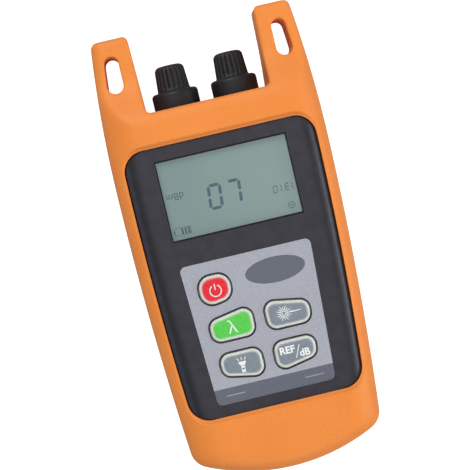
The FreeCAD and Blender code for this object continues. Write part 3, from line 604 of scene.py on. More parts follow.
def windowLoop(inset, lowY, highY, corner, cornerCount, topCount):
    # right half of a window: straight low edge, corners, a side that follows the boot's, straight top
    lowCentre = (float(sideX(np.array(lowY + corner), inset + corner)), lowY + corner)
    highCentre = (float(sideX(np.array(highY - corner), inset + corner)), highY - corner)
    foot = straight(np.linspace(0, lowCentre[0], counts["end"]), lowY)
    lowTurn, highTurn = sideTurn(*lowCentre, boot["lowerRadius"]), sideTurn(*highCentre, boot["upperRadius"])
    low = arcPoints(lowCentre, corner, -90, lowTurn, counts["corner"])
    high = arcPoints(highCentre, corner, highTurn, 90, cornerCount)
    side = sidePoints(np.linspace(low[-1, 1], high[0, 1], counts["side"]), inset)
    top = straight(np.linspace(highCentre[0], 0, topCount), highY)
    return np.concatenate([foot, low[1:], side[1:], high[1:], top[1:]])


def crowded(reach, turn, step):
    # distances from an edge that crowd towards it: the reach times 1 less the cosine of even turns
    return reach * (1 - np.cos(np.radians(np.arange(0, turn + 1, step))))


def between(inner, outer, innerSteps, middleCount, outerSteps):
    # rows from an inner loop to an outer one: given distances near the edges, even steps in between
    length = np.linalg.norm(outer - inner, axis=1)[None, :, None]
    outerZone = outerSteps[-1]
    reach = np.minimum(1, 0.8 * (length - innerSteps[-1]) / outerZone)
    fromInner = np.array(innerSteps)[:, None, None] / length
    outward = np.array(outerSteps)[::-1][:, None, None] * reach / length
    start = innerSteps[-1] / length
    end = 1 - outerZone * reach / length
    ramp = (np.arange(1, middleCount) / middleCount)[:, None, None]
    share = np.concatenate([fromInner + np.zeros_like(reach), start + (end - start) * ramp, 1 - outward])
    return inner[None] + (outer - inner)[None] * share


def raised(grid, height):
    # a flat grid lifted to a height that is a function of x and y
    flat = grid.reshape(-1, 2)
    return np.concatenate([flat, height(flat[:, 0], flat[:, 1])[:, None]], 1).reshape(grid.shape[:2] + (3,))


def wall(top, bottom, shares=(0, 0.03, 0.25, 0.5, 0.75, 0.97, 1)):
    # rows between two edges, each a mix of both by its share
    shares = np.array(shares)[:, None, None]
    return top[None] * (1 - shares) + bottom[None] * shares


def slotPoints(outer, low, high):
    # the point of a slot's edge that faces each point of a loop round it: out from the nearest point of
    # the slot's centre line by the radius there
    along = np.array([high[0] - low[0], high[1] - low[1]])
    share = np.clip((outer - np.array(low[:2])) @ along / (along @ along), 0, 1)[:, None]
    centre = np.array(low[:2]) + along * share
    out = (outer - centre) / np.linalg.norm(outer - centre, axis=1)[:, None]
    return centre + out * (low[2] + (high[2] - low[2]) * share)


def notchFillet():
    # the arc in the notch's corner: the height where it starts, its outer x and its centre's x
    radius = boot["notchCorner"]
    outerX = boot["notchHalf"] + notchLean() * radius
    return boot["notchY"] + radius, outerX, outerX - radius


def baseXs():
    # xs along the line y = baseY: even under the ear, by a sine under the fillet, even under the notch
    outerX, filletX = notchFillet()[1:]
    underEar = np.linspace(sideX(np.array(boot["baseY"]), 0), outerX, counts["base"])
    underFillet = filletX + boot["notchCorner"] * np.sin(np.radians(np.linspace(90, 0, counts["fillet"])))
    return np.concatenate([underEar, underFillet[1:], np.linspace(filletX, 0, counts["top"])[1:]])


def frontFace(window, outline):
    # the lip, whose height falls off towards the window by an eased step, deeper at the window's ends
    # than along its sides, and the face from the lip's ridge out to the outline
    tangent = np.gradient(window, axis=0)
    tangent[0], tangent[-1] = (1, 0), (-1, 0)
    outward = np.stack([tangent[:, 1], -tangent[:, 0]], -1) / np.linalg.norm(tangent, axis=1)[:, None]
    endShare = outward[:, 1:] ** 2
    lipWidth = boot["lipSides"] + (boot["lipEnds"] - boot["lipSides"]) * endShare
    lipDepth = boot["lipDepth"] * (boot["lipSideDepth"] + (1 - boot["lipSideDepth"]) * endShare)
    ridge = window + outward * lipWidth
    steps = crowded(boot["rollRows"], 45, 4)
    face = raised(between(ridge, outline, boot["ridgeRows"], counts["faceRows"], steps), frontHeight)
    toRidge = np.array([1, 0.97, 0.9, 0.75, 0.55, 0.35, 0.2, 0.1, 0])[:, None, None]
    lip = raised(window[None] + (ridge - window)[None] * (1 - toRidge), frontHeight)
    lip[:, :, 2:] -= lipDepth[None] * toRidge ** 2 * (3 - 2 * toRidge)
    return lip, face


def backFace(window, outline):
    # the face behind, from the back window's slightly rounded edge out to the outline
    steps = crowded(boot["rollRows"], 45, 4)
    face = raised(between(window, outline, boot["backRows"], counts["faceRows"], steps), backHeight)
    face[:2, :, 2] += np.array(boot["backEdge"])[:, None]
    return face


def earRim():
    # the free edge of the right ear: up its bowed side, round the tip's two corners, down by the notch
    tipY, radius, small = boot["tipY"], boot["tipCornerOuter"], boot["tipCornerInner"]
    cornerX = float(sideX(np.array(tipY - radius), radius))
    startAngle = sideTurn(cornerX, tipY - radius, boot["upperRadius"])
    outerTip = arcPoints((cornerX, tipY - radius), radius, startAngle, 90, counts["tipCorner"])
    outerSide = sidePoints(np.linspace(boot["baseY"], tipY - radius, counts["tipSide"]), 0)
    outerSide[-1] = outerTip[0]
    innerX = boot["notchTipHalf"] - notchLean() * small + small
    tip = straight(np.linspace(cornerX, innerX, counts["tip"]), tipY)
    innerTip = arcPoints((innerX, tipY - small), small, 90, 180, counts["tipCorner"])
    innerYs = np.linspace(tipY - small, notchFillet()[0], counts["inner"])
    innerSide = np.stack([boot["notchHalf"] + notchLean() * (innerYs - boot["notchY"]), innerYs], -1)
    innerTip[-1] = innerSide[0]
    return np.concatenate([outerSide, outerTip[1:], tip[1:], innerTip[1:], innerSide[1:]])


def earFaces(rim, lineXs):
    # rows from the strap slot out to the rim, the ear's lower inner edge and the base line
    filletTop, outerX = notchFillet()[:2]
    downYs = np.linspace(filletTop, boot["baseY"], counts["down"])
    down = np.stack([np.full_like(downYs, outerX), downYs], -1)
    base = straight(lineXs[counts["base"] - 1::-1], boot["baseY"])
    loop = np.concatenate([rim, down[1:], base[1:]])
    slot = slotPoints(loop, boot["slotLow"], boot["slotHigh"])
    slotSteps = np.append(crowded(boot["slotRows"][0], 90, 15), boot["slotRows"][1:])
    rimSteps = np.append(crowded(boot["earRows"][0], 90, 15), boot["earRows"][1:])
    plan = between(slot, loop, slotSteps, counts["earRows"], rimSteps)
    return raised(plan, frontHeight), raised(plan, backHeight)


def bandFaces(lineXs):
    # even rows from the base line up to the notch's floor, which starts with the fillet's arc
    filletTop, outerX, filletX = notchFillet()
    xs = lineXs[counts["base"] - 1:]
    depth = np.sqrt(np.clip(boot["notchCorner"] ** 2 - (xs - filletX) ** 2, 0, None))
    floorYs = np.where((xs > filletX) & (xs < outerX), filletTop - depth, boot["notchY"])
    floorYs[0] = filletTop
    floor = np.stack([xs, floorYs], -1)
    plan = wall(straight(xs, boot["baseY"]), floor, np.linspace(0, 1, counts["down"]))
    return raised(plan, frontHeight), raised(plan, backHeight)


def portPanel(top, bottom, opening=None):
    # a flat wall from the edge of the port openings out to the wall's own edge; a second wall takes its
    # opening from the first
    side = wall(top[-1:], bottom[-1:])[:, 0]
    loop = np.concatenate([top, side[1:], bottom[::-1][1:]])
    flat = loop[:, [0, 2]]
    if opening is None:
        hole = slotPoints(flat, (0.0, boot["portZ"], boot["portRadius"]),
                          (boot["portX"], boot["portZ"], boot["portRadius"]))
        hole[[0, -1], 0] = 0
    else:
        picks = np.round(np.linspace(0, len(opening) - 1, len(flat))).astype(int)
        hole = opening[picks][:, [0, 2]]
    grid = wall(hole, flat, np.linspace(0, 1, 6))
    return np.stack([grid[..., 0], np.broadcast_to(loop[:, 1], grid.shape[:2]), grid[..., 1]], -1)


def buildBoot():
    # the right half as grids that share their edges, and its mirror image
    lineXs = baseXs()
    outline = outerLoop(0, 0, boot["baseY"], lineXs)
    spare = counts["base"] - 1
    loopCounts = dict(cornerCount=counts["shoulder"] + spare, topCount=len(lineXs) - spare)
    window = windowLoop(**boot["window"], **loopCounts)
    backWindow = windowLoop(**boot["backWindow"], **loopCounts)
    lip, front = frontFace(window, outline)
    back = backFace(backWindow, outline)
    rim = earRim()
    earFront, earBack = earFaces(rim, lineXs)
    bandFront, bandBack = bandFaces(lineXs)
    slotWall = wall(earFront[0], earBack[0], (0, 0.03, 0.5, 0.97, 1))
    patches = [lip, front, back, earFront, earBack, slotWall, bandFront, bandBack]

    # upright wall all round the outside, down to the start of the notch's straight floor
    stop, flat = len(outline) - len(lineXs) + 1, counts["fillet"] - 1
    patches.append(wall(front[-1, :stop], back[-1, :stop]))
    patches.append(wall(earFront[-1, :len(rim)], earBack[-1, :len(rim)]))
    patches.append(wall(bandFront[-1, :flat + 1], bandBack[-1, :flat + 1]))
    floorPanel = portPanel(bandFront[-1, flat:][::-1], bandBack[-1, flat:][::-1])
    patches.append(floorPanel)

    # the cavity for the case: its front, back and side, its end wall, and the way out to the ports
    cavityY = caseTop + boot["skinGap"]
    cornerX, bend = sideX(np.array(cavityY), boot["caseSide"]), boot["cavityBend"]
    floorCount = bandFront.shape[1] - flat
    outerXs = np.linspace(cornerX, bend, len(lineXs) - floorCount + 1)[:-1]
    cavityXs = np.concatenate([outerXs, np.linspace(bend, 0, floorCount)])
    cavity = outerLoop(boot["caseSide"], boot["caseEnd"], cavityY, cavityXs)
    cavitySteps = crowded(boot["cavityRows"], 45, 9)
    rows = counts["cavityRows"]
    hollowFront = raised(between(window, cavity, (0.0,), rows, cavitySteps), cavityFront)
    hollowBack = raised(between(backWindow, cavity, (0.0,), rows, cavitySteps), cavityBack)
    patches += [hollowFront, hollowBack, wall(hollowFront[-1, :stop], hollowBack[-1, :stop])]
    endFront, endBack = hollowFront[-1, stop - 1:][::-1], hollowBack[-1, stop - 1:][::-1]
    patches.append(portPanel(endFront, endBack, floorPanel[0]))
    mouth = floorPanel[0]
    patches.append(np.stack([mouth, np.stack([mouth[:, 0], np.full(len(mouth), cavityY), mouth[:, 2]], -1)]))

    # upright edges of both windows
    patches += [wall(lip[0], hollowFront[0], (0, 0.5, 1)), wall(back[0], hollowBack[0], (0, 0.5, 1))]
    piece = meshFrom("boot_moulding", patches, 38, wrap=False, mirrored=True)
    return dress(piece, "meter", "bootRubber", "boot_rubber", "protective_boot")


buildBoot()

# the full shoulders of the front cover, seen in the window beside its flat face
shoulders = dict(gap=0.4, onFace=0.7, proud=0.006, inset=14.95, fullness=0.45, power=1.12, under=0.8,
                 edge=0.35, cornerCount=24, acrossCount=24, leastWidth=0.02, leastThickness=0.1)


def buildShoulders():
    # along, it follows the boot's window a little inside it; across, its height falls by a power of
    # what the moulding under it falls, and ends in a quarter circle
    look, window, gap = shoulders, boot["window"], shoulders["gap"]
    loop = windowLoop(window["inset"] + gap, window["lowY"] + gap, window["highY"] - gap,
                      window["corner"] - gap, look["cornerCount"], 2)
    outer = loop[counts["end"] - 1:-1]
    startX = np.minimum(sideX(outer[:, 1], look["inset"]) - look["onFace"], outer[:, 0] - look["leastWidth"])
    shares = np.sin(np.radians(np.linspace(0, 90, look["acrossCount"])))
    across = startX[:, None] + (outer[:, :1] - startX[:, None]) * shares[None]
    along = np.broadcast_to(outer[:, 1:], across.shape)
    below = caseFall(across, along, boot["caseFrontRoll"])
    fall = look["fullness"] * np.clip(below, 0, None) ** look["power"]
    toEdge = np.clip(1 - (outer[:, :1] - across) / look["edge"], 0, 1)
    top = caseFront + look["proud"] - fall - look["edge"] * (1 - np.sqrt(1 - toEdge ** 2))
    under = np.minimum(caseFront - below - look["under"], top - look["leastThickness"])
    upper, lower = np.stack([across, along, top], -1), np.stack([across, along, under], -1)
    skin = np.concatenate([upper, lower[:, ::-1]], 1)
    ends = [np.broadcast_to(skin[row].mean(0), skin[:1].shape) for row in (0, -1)]
    piece = meshFrom("front_cover_shoulders", [np.concatenate([ends[0], skin, ends[1]])], 50, mirrored=True)
    return dress(piece, "meter", "casePlasticPaintedShade", "case_plastic")


buildShoulders()
print("boot and shoulders done")


def mirrorImage(corners):
    # the same four corners on the other side, still counted round from the lower left one
    return [(-corners[index][0], corners[index][1]) for index in (1, 0, 3, 2)]


# keys, each a closed skin carried round its rounded outline
upperCorners = ((-21.4, -37.2), (-2.4, -37.2), (-2.2, -23.8), (-21.8, -27.3))
lowerCorners = ((-20.4, -51.5), (-2.2, -55.1), (-2.3, -41.8), (-21.0, -41.8))
powerCorners = ((-22.4, -22.2), (-8.3, -19.9), (-8.3, -8.3), (-22.4, -8.3))
keys = {
    "power_key": dict(corners=powerCorners, radius=5.6, finish="keyRed", slot="key_red"),
    "wavelength_key": dict(corners=upperCorners, radius=4.4, finish="keyGreen", slot="key_green"),
    "laser_key": dict(corners=mirrorImage(upperCorners), radius=4.4, finish="keyGrey", slot="key_grey"),
    "lamp_key": dict(corners=lowerCorners, radius=4.4, finish="keyGrey", slot="key_grey"),
    "reference_key": dict(corners=mirrorImage(lowerCorners), radius=4.4, finish="keyGrey", slot="key_grey")}
keySettings = dict(
    fit=0.5, flangeDrop=3.15, flangeOut=0.8, flangeHeight=0.8, flangeEdge=0.05, bevel=0.75, padRise=0.2,
    crown=0.02, leastRadius=0.2, samples=9, sideSteps=3,
    # past the fit: distance in, height above the rim and share of the pad's colour
    padSteps=((0.85, 0.03, 0.05), (1.0, -0.02, 0.25), (1.12, -0.07, 0.5), (1.25, -0.04, 0.75),
              (1.5, 0.06, 0.95), (1.9, 0.13, 1), (2.6, 0.18, 1)))


def roundedOutline(corners, radius, inset):
    # every corner an arc, every side a few even steps, all moved in by the inset
    corners = np.array(corners, float)
    back = np.roll(corners, 1, 0) - corners
    ahead = np.roll(corners, -1, 0) - corners
    back /= np.linalg.norm(back, axis=1)[:, None]
    ahead /= np.linalg.norm(ahead, axis=1)[:, None]
    half = np.arccos(np.clip((back * ahead).sum(1), -1, 1)) / 2
    middle = (back + ahead) / np.linalg.norm(back + ahead, axis=1)[:, None]
    centre = corners + middle * (radius / np.sin(half))[:, None]
    startAngle = np.arctan2(back[:, 0], -back[:, 1])
    sweep = np.pi - 2 * half
    angle = startAngle[:, None] + sweep[:, None] * np.linspace(0, 1, keySettings["samples"])
    arcs = centre[:, None] + (radius - inset) * np.stack([np.cos(angle), np.sin(angle)], -1)
    gap = np.roll(arcs[:, 0], -1, 0) - arcs[:, -1]
    steps = np.linspace(0, 1, keySettings["sideSteps"] + 2)[1:-1]
    sides = arcs[:, -1:, :] + gap[:, None] * steps[None, :, None]
    return np.concatenate([arcs, sides], 1).reshape(-1, 2)


def keySection(topZ):
    # rows as distance in from the gap's outline, height and share of the pad's colour: round the flange,
    # up to the bevel, a quarter circle over it, then through the groove on to the pad
    look = keySettings
    fit, bevel, out, edge = look["fit"], look["bevel"], look["flangeOut"], look["flangeEdge"]
    low, rimZ = caseFront - look["flangeDrop"], topZ - look["padRise"]
    high = low + look["flangeHeight"]
    flange = [(edge - out, low, 0), (-out, low + edge, 0), (-out, high - edge, 0),
              (edge - out, high, 0), (fit, high, 0)]
    turns = np.radians(np.arange(0, 91, 15))
    over = [(fit + bevel * (1 - math.cos(turn)), rimZ - bevel * (1 - math.sin(turn)), 0) for turn in turns]
    return flange + over + [(fit + inward, rimZ + up, share) for inward, up, share in look["padSteps"]]


def buildKey(node, settings):
    # the outline at every row of the section, closed by rings that shrink to the middle at both ends
    topZ, radius = boxInMm(node)[1][2], settings["radius"]
    section = keySection(topZ)
    rows = []
    for inset, z, share in section:
        plan = roundedOutline(settings["corners"], radius, min(inset, radius - keySettings["leastRadius"]))
        rows.append(np.concatenate([plan, np.full((len(plan), 1), z)], 1))
    first, last = rows[0], rows[-1]
    under = [first.mean(0) + (first - first.mean(0)) * share for share in (0.0, 0.5)]
    for share in (0.75, 0.5, 0.25, 0.0):
        inner = last.mean(0) + (last - last.mean(0)) * share
        inner[:, 2] = topZ - keySettings["crown"] * share
        rows.append(inner)
    skin = np.stack(under + rows)
    shares = np.array([0, 0] + [share for inset, z, share in section] + [1, 1, 1, 1], float)
    piece = meshFrom(node.replace("_key", "_key_cap"), [skin], 60)
    # each point of the welded mesh takes its share from the nearest point of the skin
    points = np.empty(len(piece.data.vertices) * 3)
    piece.data.vertices.foreach_get("co", points)
    points = points.reshape(-1, 3) / toMetres
    nearest = np.argmin(((points[:, None] - skin.reshape(1, -1, 3)) ** 2).sum(-1), 1)
    layer = piece.data.attributes.new("padShare", "FLOAT", "POINT")
    layer.data.foreach_set("value", np.repeat(shares, skin.shape[1])[nearest].astype(np.float32))
    return dress(piece, node, settings["finish"], settings["slot"], node)


for node, settings in keys.items():
    buildKey(node, settings)
print("keys done")

# caps, turned skins with ribs
capSettings = dict(
    collarRadius=9.85, collarLength=9.7, collarEdge=1.5, tipBase=6.95, tipTop=6.35, tipEdge=2.3, dome=0.05,
    boreRadius=7.95, boreDepth=7.7, neckRadius=4.5, neckDepth=15.9, mouth=(0.2, 0.3),
    # out from the collar's or the tip's radius, then up
    footSteps=((-0.4, 0), (-0.1, 0.12), (0, 0.45)), filletSteps=((0.7, 0), (0.25, 0.12), (0.04, 0.5)),
    taperStart=0.9, taperRows=16, ribs=17, ribDepth=0.592, valleyPower=0.45, columnsPerRib=10,
    ribStart=0.3, ribStartFade=1.2, ribStop=0.5, ribStopFade=1.6)


def quarterRound(radius, y, size):
    # a quarter circle from a wall of that radius over to the flat end at y
    turns = np.radians(np.arange(0, 91, 11.25))
    return [(radius - size * (1 - math.cos(turn)), y - size * (1 - math.sin(turn))) for turn in turns]


def capProfile(footY, tipY):
    # radius and y from the middle of the bore out over the collar and the tapering tip to its middle
    look = capSettings
    collarY, neckY, boreY = footY + look["collarLength"], footY + look["neckDepth"], footY + look["boreDepth"]
    bore, (flare, flareLength) = look["boreRadius"], look["mouth"]
    inside = [(0, neckY), (look["neckRadius"], neckY), (look["neckRadius"], boreY), (bore, boreY),
              (bore, footY + flareLength), (bore + flare, footY)]
    collar = [(look["collarRadius"] + out, footY + up) for out, up in look["footSteps"]]
    collar += quarterRound(look["collarRadius"], collarY, look["collarEdge"])
    fillet = [(look["tipBase"] + out, collarY + up) for out, up in look["filletSteps"]]
    taperYs = np.linspace(collarY + look["taperStart"], tipY - look["tipEdge"], look["taperRows"])
    lean = (look["tipBase"] - look["tipTop"]) / (taperYs[-1] - collarY)
    taper = [(look["tipBase"] - lean * (y - collarY), y) for y in taperYs]
    crown = quarterRound(look["tipTop"], tipY, look["tipEdge"])[1:]
    top = [(look["tipTop"] * share, tipY - look["dome"] * (1 - share)) for share in (0.5, 0.0)]
    return np.array(inside + collar + fillet + taper + crown + top), len(inside) + len(collar)


def buildCap(node):
    # the profile turned about the port's axis, less ribs that fade in above the collar and out over the
    # crown: 1 less a power of a half sine makes round tops with narrow valleys
    look, (low, high) = capSettings, boxInMm(node)
    profile, tipStart = capProfile(low[1], high[1])
    y, ribbed = profile[:, 1], np.arange(len(profile)) >= tipStart
    angle = np.linspace(0, 2 * np.pi, look["ribs"] * look["columnsPerRib"], endpoint=False)
    valley = 1 - np.abs(np.sin(angle * look["ribs"] / 2)) ** look["valleyPower"]
    fadeIn = np.clip((y - low[1] - look["collarLength"] - look["ribStart"]) / look["ribStartFade"], 0, 1)
    fadeOut = np.clip((high[1] - look["ribStop"] - y) / look["ribStopFade"], 0, 1)
    depth = look["ribDepth"] * fadeIn * fadeOut * ribbed
    radius = profile[:, :1] - depth[:, None] * valley[None]
    x, z = (low[0] + high[0]) / 2, (low[2] + high[2]) / 2
    ys = np.broadcast_to(y[:, None], radius.shape)
    skin = np.stack([x + radius * np.cos(angle), ys, z + radius * np.sin(angle)], -1)
    piece = meshFrom(node.replace("_cap", "_dust_cap"), [skin], 55)
    return dress(piece, node, "capRubber", "cap_rubber", node)


for node in ("detector_cap", "laser_cap"):
    buildCap(node)
print("caps done")


# printed marks: flat strokes just above what carries them
def strokeFaces(paths, z):
    # each path is a run of points and a width; a ribbon of quads follows it, half the width to each side
    points, faces, start = [], [], 0
    for path, width in paths:
        path = np.array(path, float)
        ahead = np.gradient(path, axis=0)
        ahead /= np.linalg.norm(ahead, axis=1)[:, None]
        side = np.stack([-ahead[:, 1], ahead[:, 0]], -1)
        half = np.broadcast_to(np.asarray(width, float), (len(path),))[:, None] / 2
        strip = np.stack([path + side * half, path - side * half], 1)
        points.append(np.concatenate([strip, np.full(strip.shape[:2] + (1,), z)], -1).reshape(-1, 3))
        faces.append(lattice(len(path), 2, start)[:, ::-1])
        start += 2 * len(path)
    return np.concatenate(points), np.concatenate(faces)


def wordMesh(word, height, left, foot, z, weight=0.0):
    # plain lettering turned into a flat mesh, then scaled and moved to its place
    data = bpy.data.curves.new(word, "FONT")
    data.body = word
    data.offset = weight
    text = bpy.data.objects.new(word, data)
    scene.collection.objects.link(text)
    bpy.context.view_layer.update()
    mesh = bpy.data.meshes.new_from_object(text)
    points = np.empty(len(mesh.vertices) * 3)
    mesh.vertices.foreach_get("co", points)
    points = points.reshape(-1, 3)
    points -= points.min(0)
    points *= height / points[:, 1].max()
    points[:, :2] += (left, foot)
    points[:, 2] = z
    faces = [tuple(face.vertices) for face in mesh.polygons]
    bpy.data.objects.remove(text)
    return points, faces


def halfTurn(mark):
    # a mark turned half round in its own place
    points, faces = mark
    middle = (points.min(0) + points.max(0)) / 2
    turned = points.copy()
    turned[:, :2] = 2 * middle[:2] - points[:, :2]
    return turned, faces


def buildMarks(name, marks, body, finish, slotName):
    # several flat marks as one piece
    points, faces, start = [], [], 0
    for markPoints, markFaces in marks:
        points.append(markPoints)
        faces += [tuple(int(index) + start for index in face) for face in markFaces]
        start += len(markPoints)
    mesh = bpy.data.meshes.new(name)
    mesh.from_pydata((np.concatenate(points) * toMetres).tolist(), [], faces)
    piece = bpy.data.objects.new(name, mesh)
    scene.collection.objects.link(piece)
    return dress(piece, body, finish, slotName)


def run(start, end, count=3):
    # even steps along a straight stroke
    return np.linspace(start, end, count)


# how far each kind of mark stands off what carries it
markLift = dict(key=0.03, overlay=0.02, panel=0.02)
markZ = boxInMm("power_key")[1][2] + markLift["key"]


def powerSign():
    # an open ring with an upright stroke in its gap
    ring, stroke = arcPoints((-15.3, -15.3), 2.4, 118, 422, 44), run((-15.3, -12.4), (-15.3, -15.0))
    return [strokeFaces([(ring, 0.42), (stroke, 0.42)], markZ)]


def greekSign():
    # the long curved stroke of a lambda, and its short leg
    curl = [(-13.7, -29.1), (-13.2, -28.75), (-12.7, -28.9), (-12.35, -29.6), (-11.9, -30.7),
            (-11.2, -32.3), (-10.7, -33.5), (-10.3, -34.05), (-9.9, -34.1)]
    curlWidths = (0.3, 0.42, 0.5, 0.56, 0.6, 0.62, 0.55, 0.42, 0.2)
    leg, legWidths = run((-12.0, -30.9), (-13.6, -34.15), 4), (0.45, 0.56, 0.6, 0.58)
    return [strokeFaces([(curl, curlWidths), (leg, legWidths)], markZ)]


def laserSign():
    # a ring, a ray to the right, and sixteen rays round it, alternately short and long
    centre = np.array([10.2, -31.0])
    beam = (run((12.8, -31), (17.6, -31), 4), (0.6, 0.45, 0.32, 0.2))
    paths = [(arcPoints(centre, 0.85, 0, 360, 28), 0.28), beam]
    for ray in range(16):
        way = np.array([math.cos(math.radians(ray * 22.5)), math.sin(math.radians(ray * 22.5))])
        paths.append((run(centre + 1.25 * way, centre + (3.3 if ray % 2 else 2.8) * way), (0.34, 0.3, 0.2)))
    return [strokeFaces(paths, markZ)]


def lampSign():
    # three rays over a torch: its head, its neck and its barrel, held together by two thin lines
    x = -11.4
    paths = [(run((x, -44.7), (x, -45.9)), 0.36)]
    paths += [(run((x + side * 1.9, -44.9), (x + side * 1.2, -46.0)), 0.36) for side in (-1, 1)]
    paths += [([(x, -46.5), (x, -47.3), (x, -48.2)], (3.3, 2.9, 1.6)), (run((x, -48.4), (x, -49.2)), 1.6)]
    paths.append((run((x, -50.0), (x, -51.1)), 1.6))
    paths += [(run((x + side * 0.65, -49.2), (x + side * 0.65, -50.0)), 0.3) for side in (-1, 1)]
    return [strokeFaces(paths, markZ)]


def referenceSign():
    # two short words with a slanting stroke between them
    words = [wordMesh("REF", 3.1, 4.9, -47.9, markZ, 0.03), wordMesh("dB", 3.05, 12.9, -50.2, markZ, 0.03)]
    return words + [strokeFaces([(run((11.1, -50.4), (13.4, -45.1)), 0.34)], markZ)]


signs = {"power_key": powerSign, "wavelength_key": greekSign, "laser_key": laserSign, "lamp_key": lampSign,
         "reference_key": referenceSign}
for node, sign in signs.items():
    buildMarks(node.replace("_key", "_legend"), sign(), node, "legendInk", keys[node]["slot"])

outlineSettings = dict(inner=-0.02, outer=-0.34)


def buildOutlines():
    # black ring on the overlay just outside every key's gap: quads between two rounded outlines
    overlayZ = boxInMm("keypad_overlay")[1][2] + markLift["overlay"]
    marks = []
    for settings in keys.values():
        outer = roundedOutline(settings["corners"], settings["radius"], outlineSettings["outer"])
        inner = roundedOutline(settings["corners"], settings["radius"], outlineSettings["inner"])
        count = len(outer)
        here, after = np.arange(count), np.roll(np.arange(count), -1)
        faces = np.stack([here, after, after + count, here + count], -1)
        both = np.concatenate([outer, inner])
        marks.append((np.concatenate([both, np.full((2 * count, 1), overlayZ)], 1), faces))
    buildMarks("key_outlines", marks, "meter", "outlineBlack", "overlay_film")


buildOutlines()
print("legends done")

panelZ = boxInMm("display_panel")[1][2] + markLift["panel"]
# the bars of a digit, on a box one wide and one high
bars = dict(a=((0, 1), (1, 1)), b=((1, 1), (1, 0.5)), c=((1, 0.5), (1, 0)), d=((1, 0), (0, 0)),
            e=((0, 0), (0, 0.5)), f=((0, 0.5), (0, 1)), g=((0, 0.5), (1, 0.5)))
# what the display shows: lit bars of each digit, its left edge and its width
display = dict(
    slant=0.08, digits=(("abcdef", -9.1, 4.8), ("abc", -0.9, 4.8)),
    digitFoot=18.0, digitHeight=9.6, digitBar=1.3,
    smallDigits=(("bc", 17.2, 0.6), ("abgcd", 19.1, 1.6), ("bc", 21.9, 0.6), ("abcdef", 24.3, 1.6)),
    smallFoot=18.5, smallHeight=2.8, smallBar=0.46, unitHeight=2.9, unitLeft=-26.4, unitFoot=24.9,
    # radius, steps and line of each ring of the round sign
    roundCentre=(24.0, 12.1), roundRings=((1.35, 30, 0.34), (0.45, 20, 0.3)),
    batteryLow=(-26.1, 10.3), batteryHigh=(-19.3, 13.3), batteryLine=0.26,
    nubOut=0.4, nubInset=0.9, nubWidth=0.4, cellXs=(-22.9, -21.5, -20.1), cellYs=(10.5, 13.1), cellWidth=0.84)


def digits(shown, foot, height, thick):
    # the lit bars of seven-bar digits, each a straight stroke with pointed ends
    paths = []
    for lit, left, width in shown:
        for name in lit:
            ends = np.array(bars[name], float)
            ends = np.stack([left + ends[:, 0] * width + display["slant"] * ends[:, 1] * height,
                             foot + ends[:, 1] * height], -1)
            way = (ends[1] - ends[0]) / np.linalg.norm(ends[1] - ends[0])
            reach = np.array([0.2, 0.7])[:, None] * thick * way
            path = np.concatenate([ends[0] + reach, ends[1] - reach[::-1]])
            paths.append((path, (thick * 0.1, thick, thick, thick * 0.1)))
    return strokeFaces(paths, panelZ)


def batterySign():
    # an outline of four strokes, and its nub to the left
    (left, foot), (right, top) = display["batteryLow"], display["batteryHigh"]
    corners = [(left, foot), (right, foot), (right, top), (left, top), (left, foot)]
    paths = [(run(start, end), display["batteryLine"]) for start, end in zip(corners, corners[1:])]
    nubX, inset = left - display["nubOut"], display["nubInset"]
    nub = (run((nubX, foot + inset), (nubX, top - inset)), display["nubWidth"])
    return strokeFaces(paths + [nub], panelZ)


def buildDisplay():
    # the reading and the unit in dark ink, the small marks in faint ink, the battery's cells in dark ink
    look = display
    reading = digits(look["digits"], look["digitFoot"], look["digitHeight"], look["digitBar"])
    unit = halfTurn(wordMesh("dBm", look["unitHeight"], look["unitLeft"], look["unitFoot"], panelZ))
    buildMarks("display_digits", [reading, unit], "meter", "lcdInk", "lcd_glass")
    wavelength = digits(look["smallDigits"], look["smallFoot"], look["smallHeight"], look["smallBar"])
    rings = [(arcPoints(look["roundCentre"], radius, 0, 360, steps), line)
             for radius, steps, line in look["roundRings"]]
    small = [halfTurn(wavelength), strokeFaces(rings, panelZ), batterySign()]
    buildMarks("display_small_marks", small, "meter", "lcdFaint", "lcd_glass")
    low, high = look["cellYs"]
    cells = strokeFaces([(run((x, low), (x, high)), look["cellWidth"]) for x in look["cellXs"]], panelZ)
    buildMarks("display_battery_mark", [cells], "meter", "lcdInk", "lcd_glass")


buildDisplay()
print("display done")

# finishes of the pieces carried over from the frame
carried = dict(
    casePlasticPaintedShade="front_cover", rearPlastic="rear_cover battery_door", windowPlasticShadowLine="display_window",
    lcdGlassPaintedLight="display_panel", backlightPlastic="display_backlight", overlayFilm="keypad_overlay",
    matSilicone="key_mat", boardLaminate="main_board", chipResin="board_chips",
    steel="board_screws case_screws", moduleMetal="detector_module laser_module",
    nickel="detector_adaptor laser_adaptor detector_nut laser_nut contact_plates contact_springs",
    lensClear="lamp_lens", ledResin="lamp_led", cellSleeve="battery_1 battery_2 battery_3")
for finish, nodes in carried.items():
    for node in nodes.split():
        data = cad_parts[node].data
        data.materials.clear()
        data.materials.append(finishes[finish])
print("carried pieces finished: %d" % len(" ".join(carried.values()).split()))

# view and light
cameraSettings = dict(foot=(-22.4, 35.2), height=633.0, aim=(-2.11, 5.33, 33.0), lean=13.23, lens=110.8)


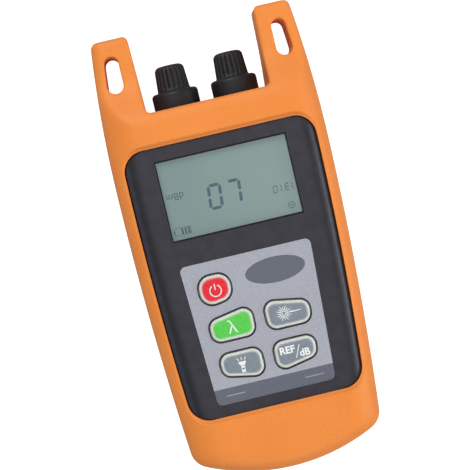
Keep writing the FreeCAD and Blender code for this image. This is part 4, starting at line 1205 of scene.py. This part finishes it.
def buildCamera(settings):
    # looks from above its foot at the aim, and leans by the given degrees from the y axis
    spot = Vector((*settings["foot"], settings["height"])) * toMetres
    forward = (Vector(settings["aim"]) * toMetres - spot).normalized()
    lean = math.radians(settings["lean"])
    right = forward.cross(Vector((math.sin(lean), math.cos(lean), 0))).normalized()
    up = right.cross(forward)
    data = bpy.data.cameras.new("viewCamera")
    data.lens = settings["lens"]
    data.clip_start = 0.01
    camera = bpy.data.objects.new("viewCamera", data)
    scene.collection.objects.link(camera)
    camera.matrix_world = Matrix((
        (right.x, up.x, -forward.x, spot.x),
        (right.y, up.y, -forward.y, spot.y),
        (right.z, up.z, -forward.z, spot.z),
        (0, 0, 0, 1)))
    scene.camera = camera


buildCamera(cameraSettings)

lights = {
    "keyLight": dict(size=0.8, energy=13.2, spot=(-0.35, 1.0, 1.1)),
    "fillLight": dict(size=0.8, energy=8.5, spot=(1.25, -0.25, 0.45)),
    "footLight": dict(size=0.8, energy=5.0, spot=(-0.1, -1.2, 0.7))}
for name, settings in lights.items():
    data = bpy.data.lights.new(name, "AREA")
    data.size = settings["size"]
    data.energy = settings["energy"]
    lamp = bpy.data.objects.new(name, data)
    scene.collection.objects.link(lamp)
    lamp.location = settings["spot"]
    lamp.rotation_euler = (-Vector(settings["spot"])).to_track_quat("-Z", "Y").to_euler()

studioSettings = dict(overhead=0.55, middle=0.2, low=0.45, seen=1.0,
                      overheadRise=(0.5, 0.85), lowRise=(0.05, 0.35))


def buildStudio(settings):
    # bright overhead and along its floor line, dim in between, and white where it is seen directly
    world = bpy.data.worlds.new("studio")
    scene.world = world
    world.use_nodes = True
    tree = world.node_tree
    background = tree.nodes["Background"]
    background.inputs[0].default_value = (1, 1, 1, 1)
    height, middle = Shade(tree).node("TexCoord").part(2), settings["middle"]
    level = height.rise(*settings["overheadRise"]) * (settings["overhead"] - middle) + middle
    level = level + (1 - height.rise(*settings["lowRise"])) * (settings["low"] - middle)
    seenDirectly = Shade(tree).node("LightPath")
    level = level * (1 - seenDirectly) + seenDirectly * settings["seen"]
    tree.links.new(level.socket, background.inputs[1])


buildStudio(studioSettings)

floorSettings = dict(reach=3.0, lift=0.93)


def buildFloor(reach, lift):
    # a square of white paper that glows a little, but only towards the camera
    mesh = bpy.data.meshes.new("floor")
    corners = [(-reach, -reach, 0), (reach, -reach, 0), (reach, reach, 0), (-reach, reach, 0)]
    mesh.from_pydata(corners, [], [(0, 1, 2, 3)])
    floor = bpy.data.objects.new("floor", mesh)
    scene.collection.objects.link(floor)
    paper = material("floorPaper", mottled((178, 178, 178), (181, 181, 181), 3.0, 40.0), 0.9,
                     Emission_Color=(1, 1, 1, 1))
    tree = paper.node_tree
    glow = Shade(tree).node("LightPath") * lift
    tree.links.new(glow.socket, tree.nodes["Principled BSDF"].inputs["Emission Strength"])
    mesh.materials.append(paper)


buildFloor(**floorSettings)
print("light done")
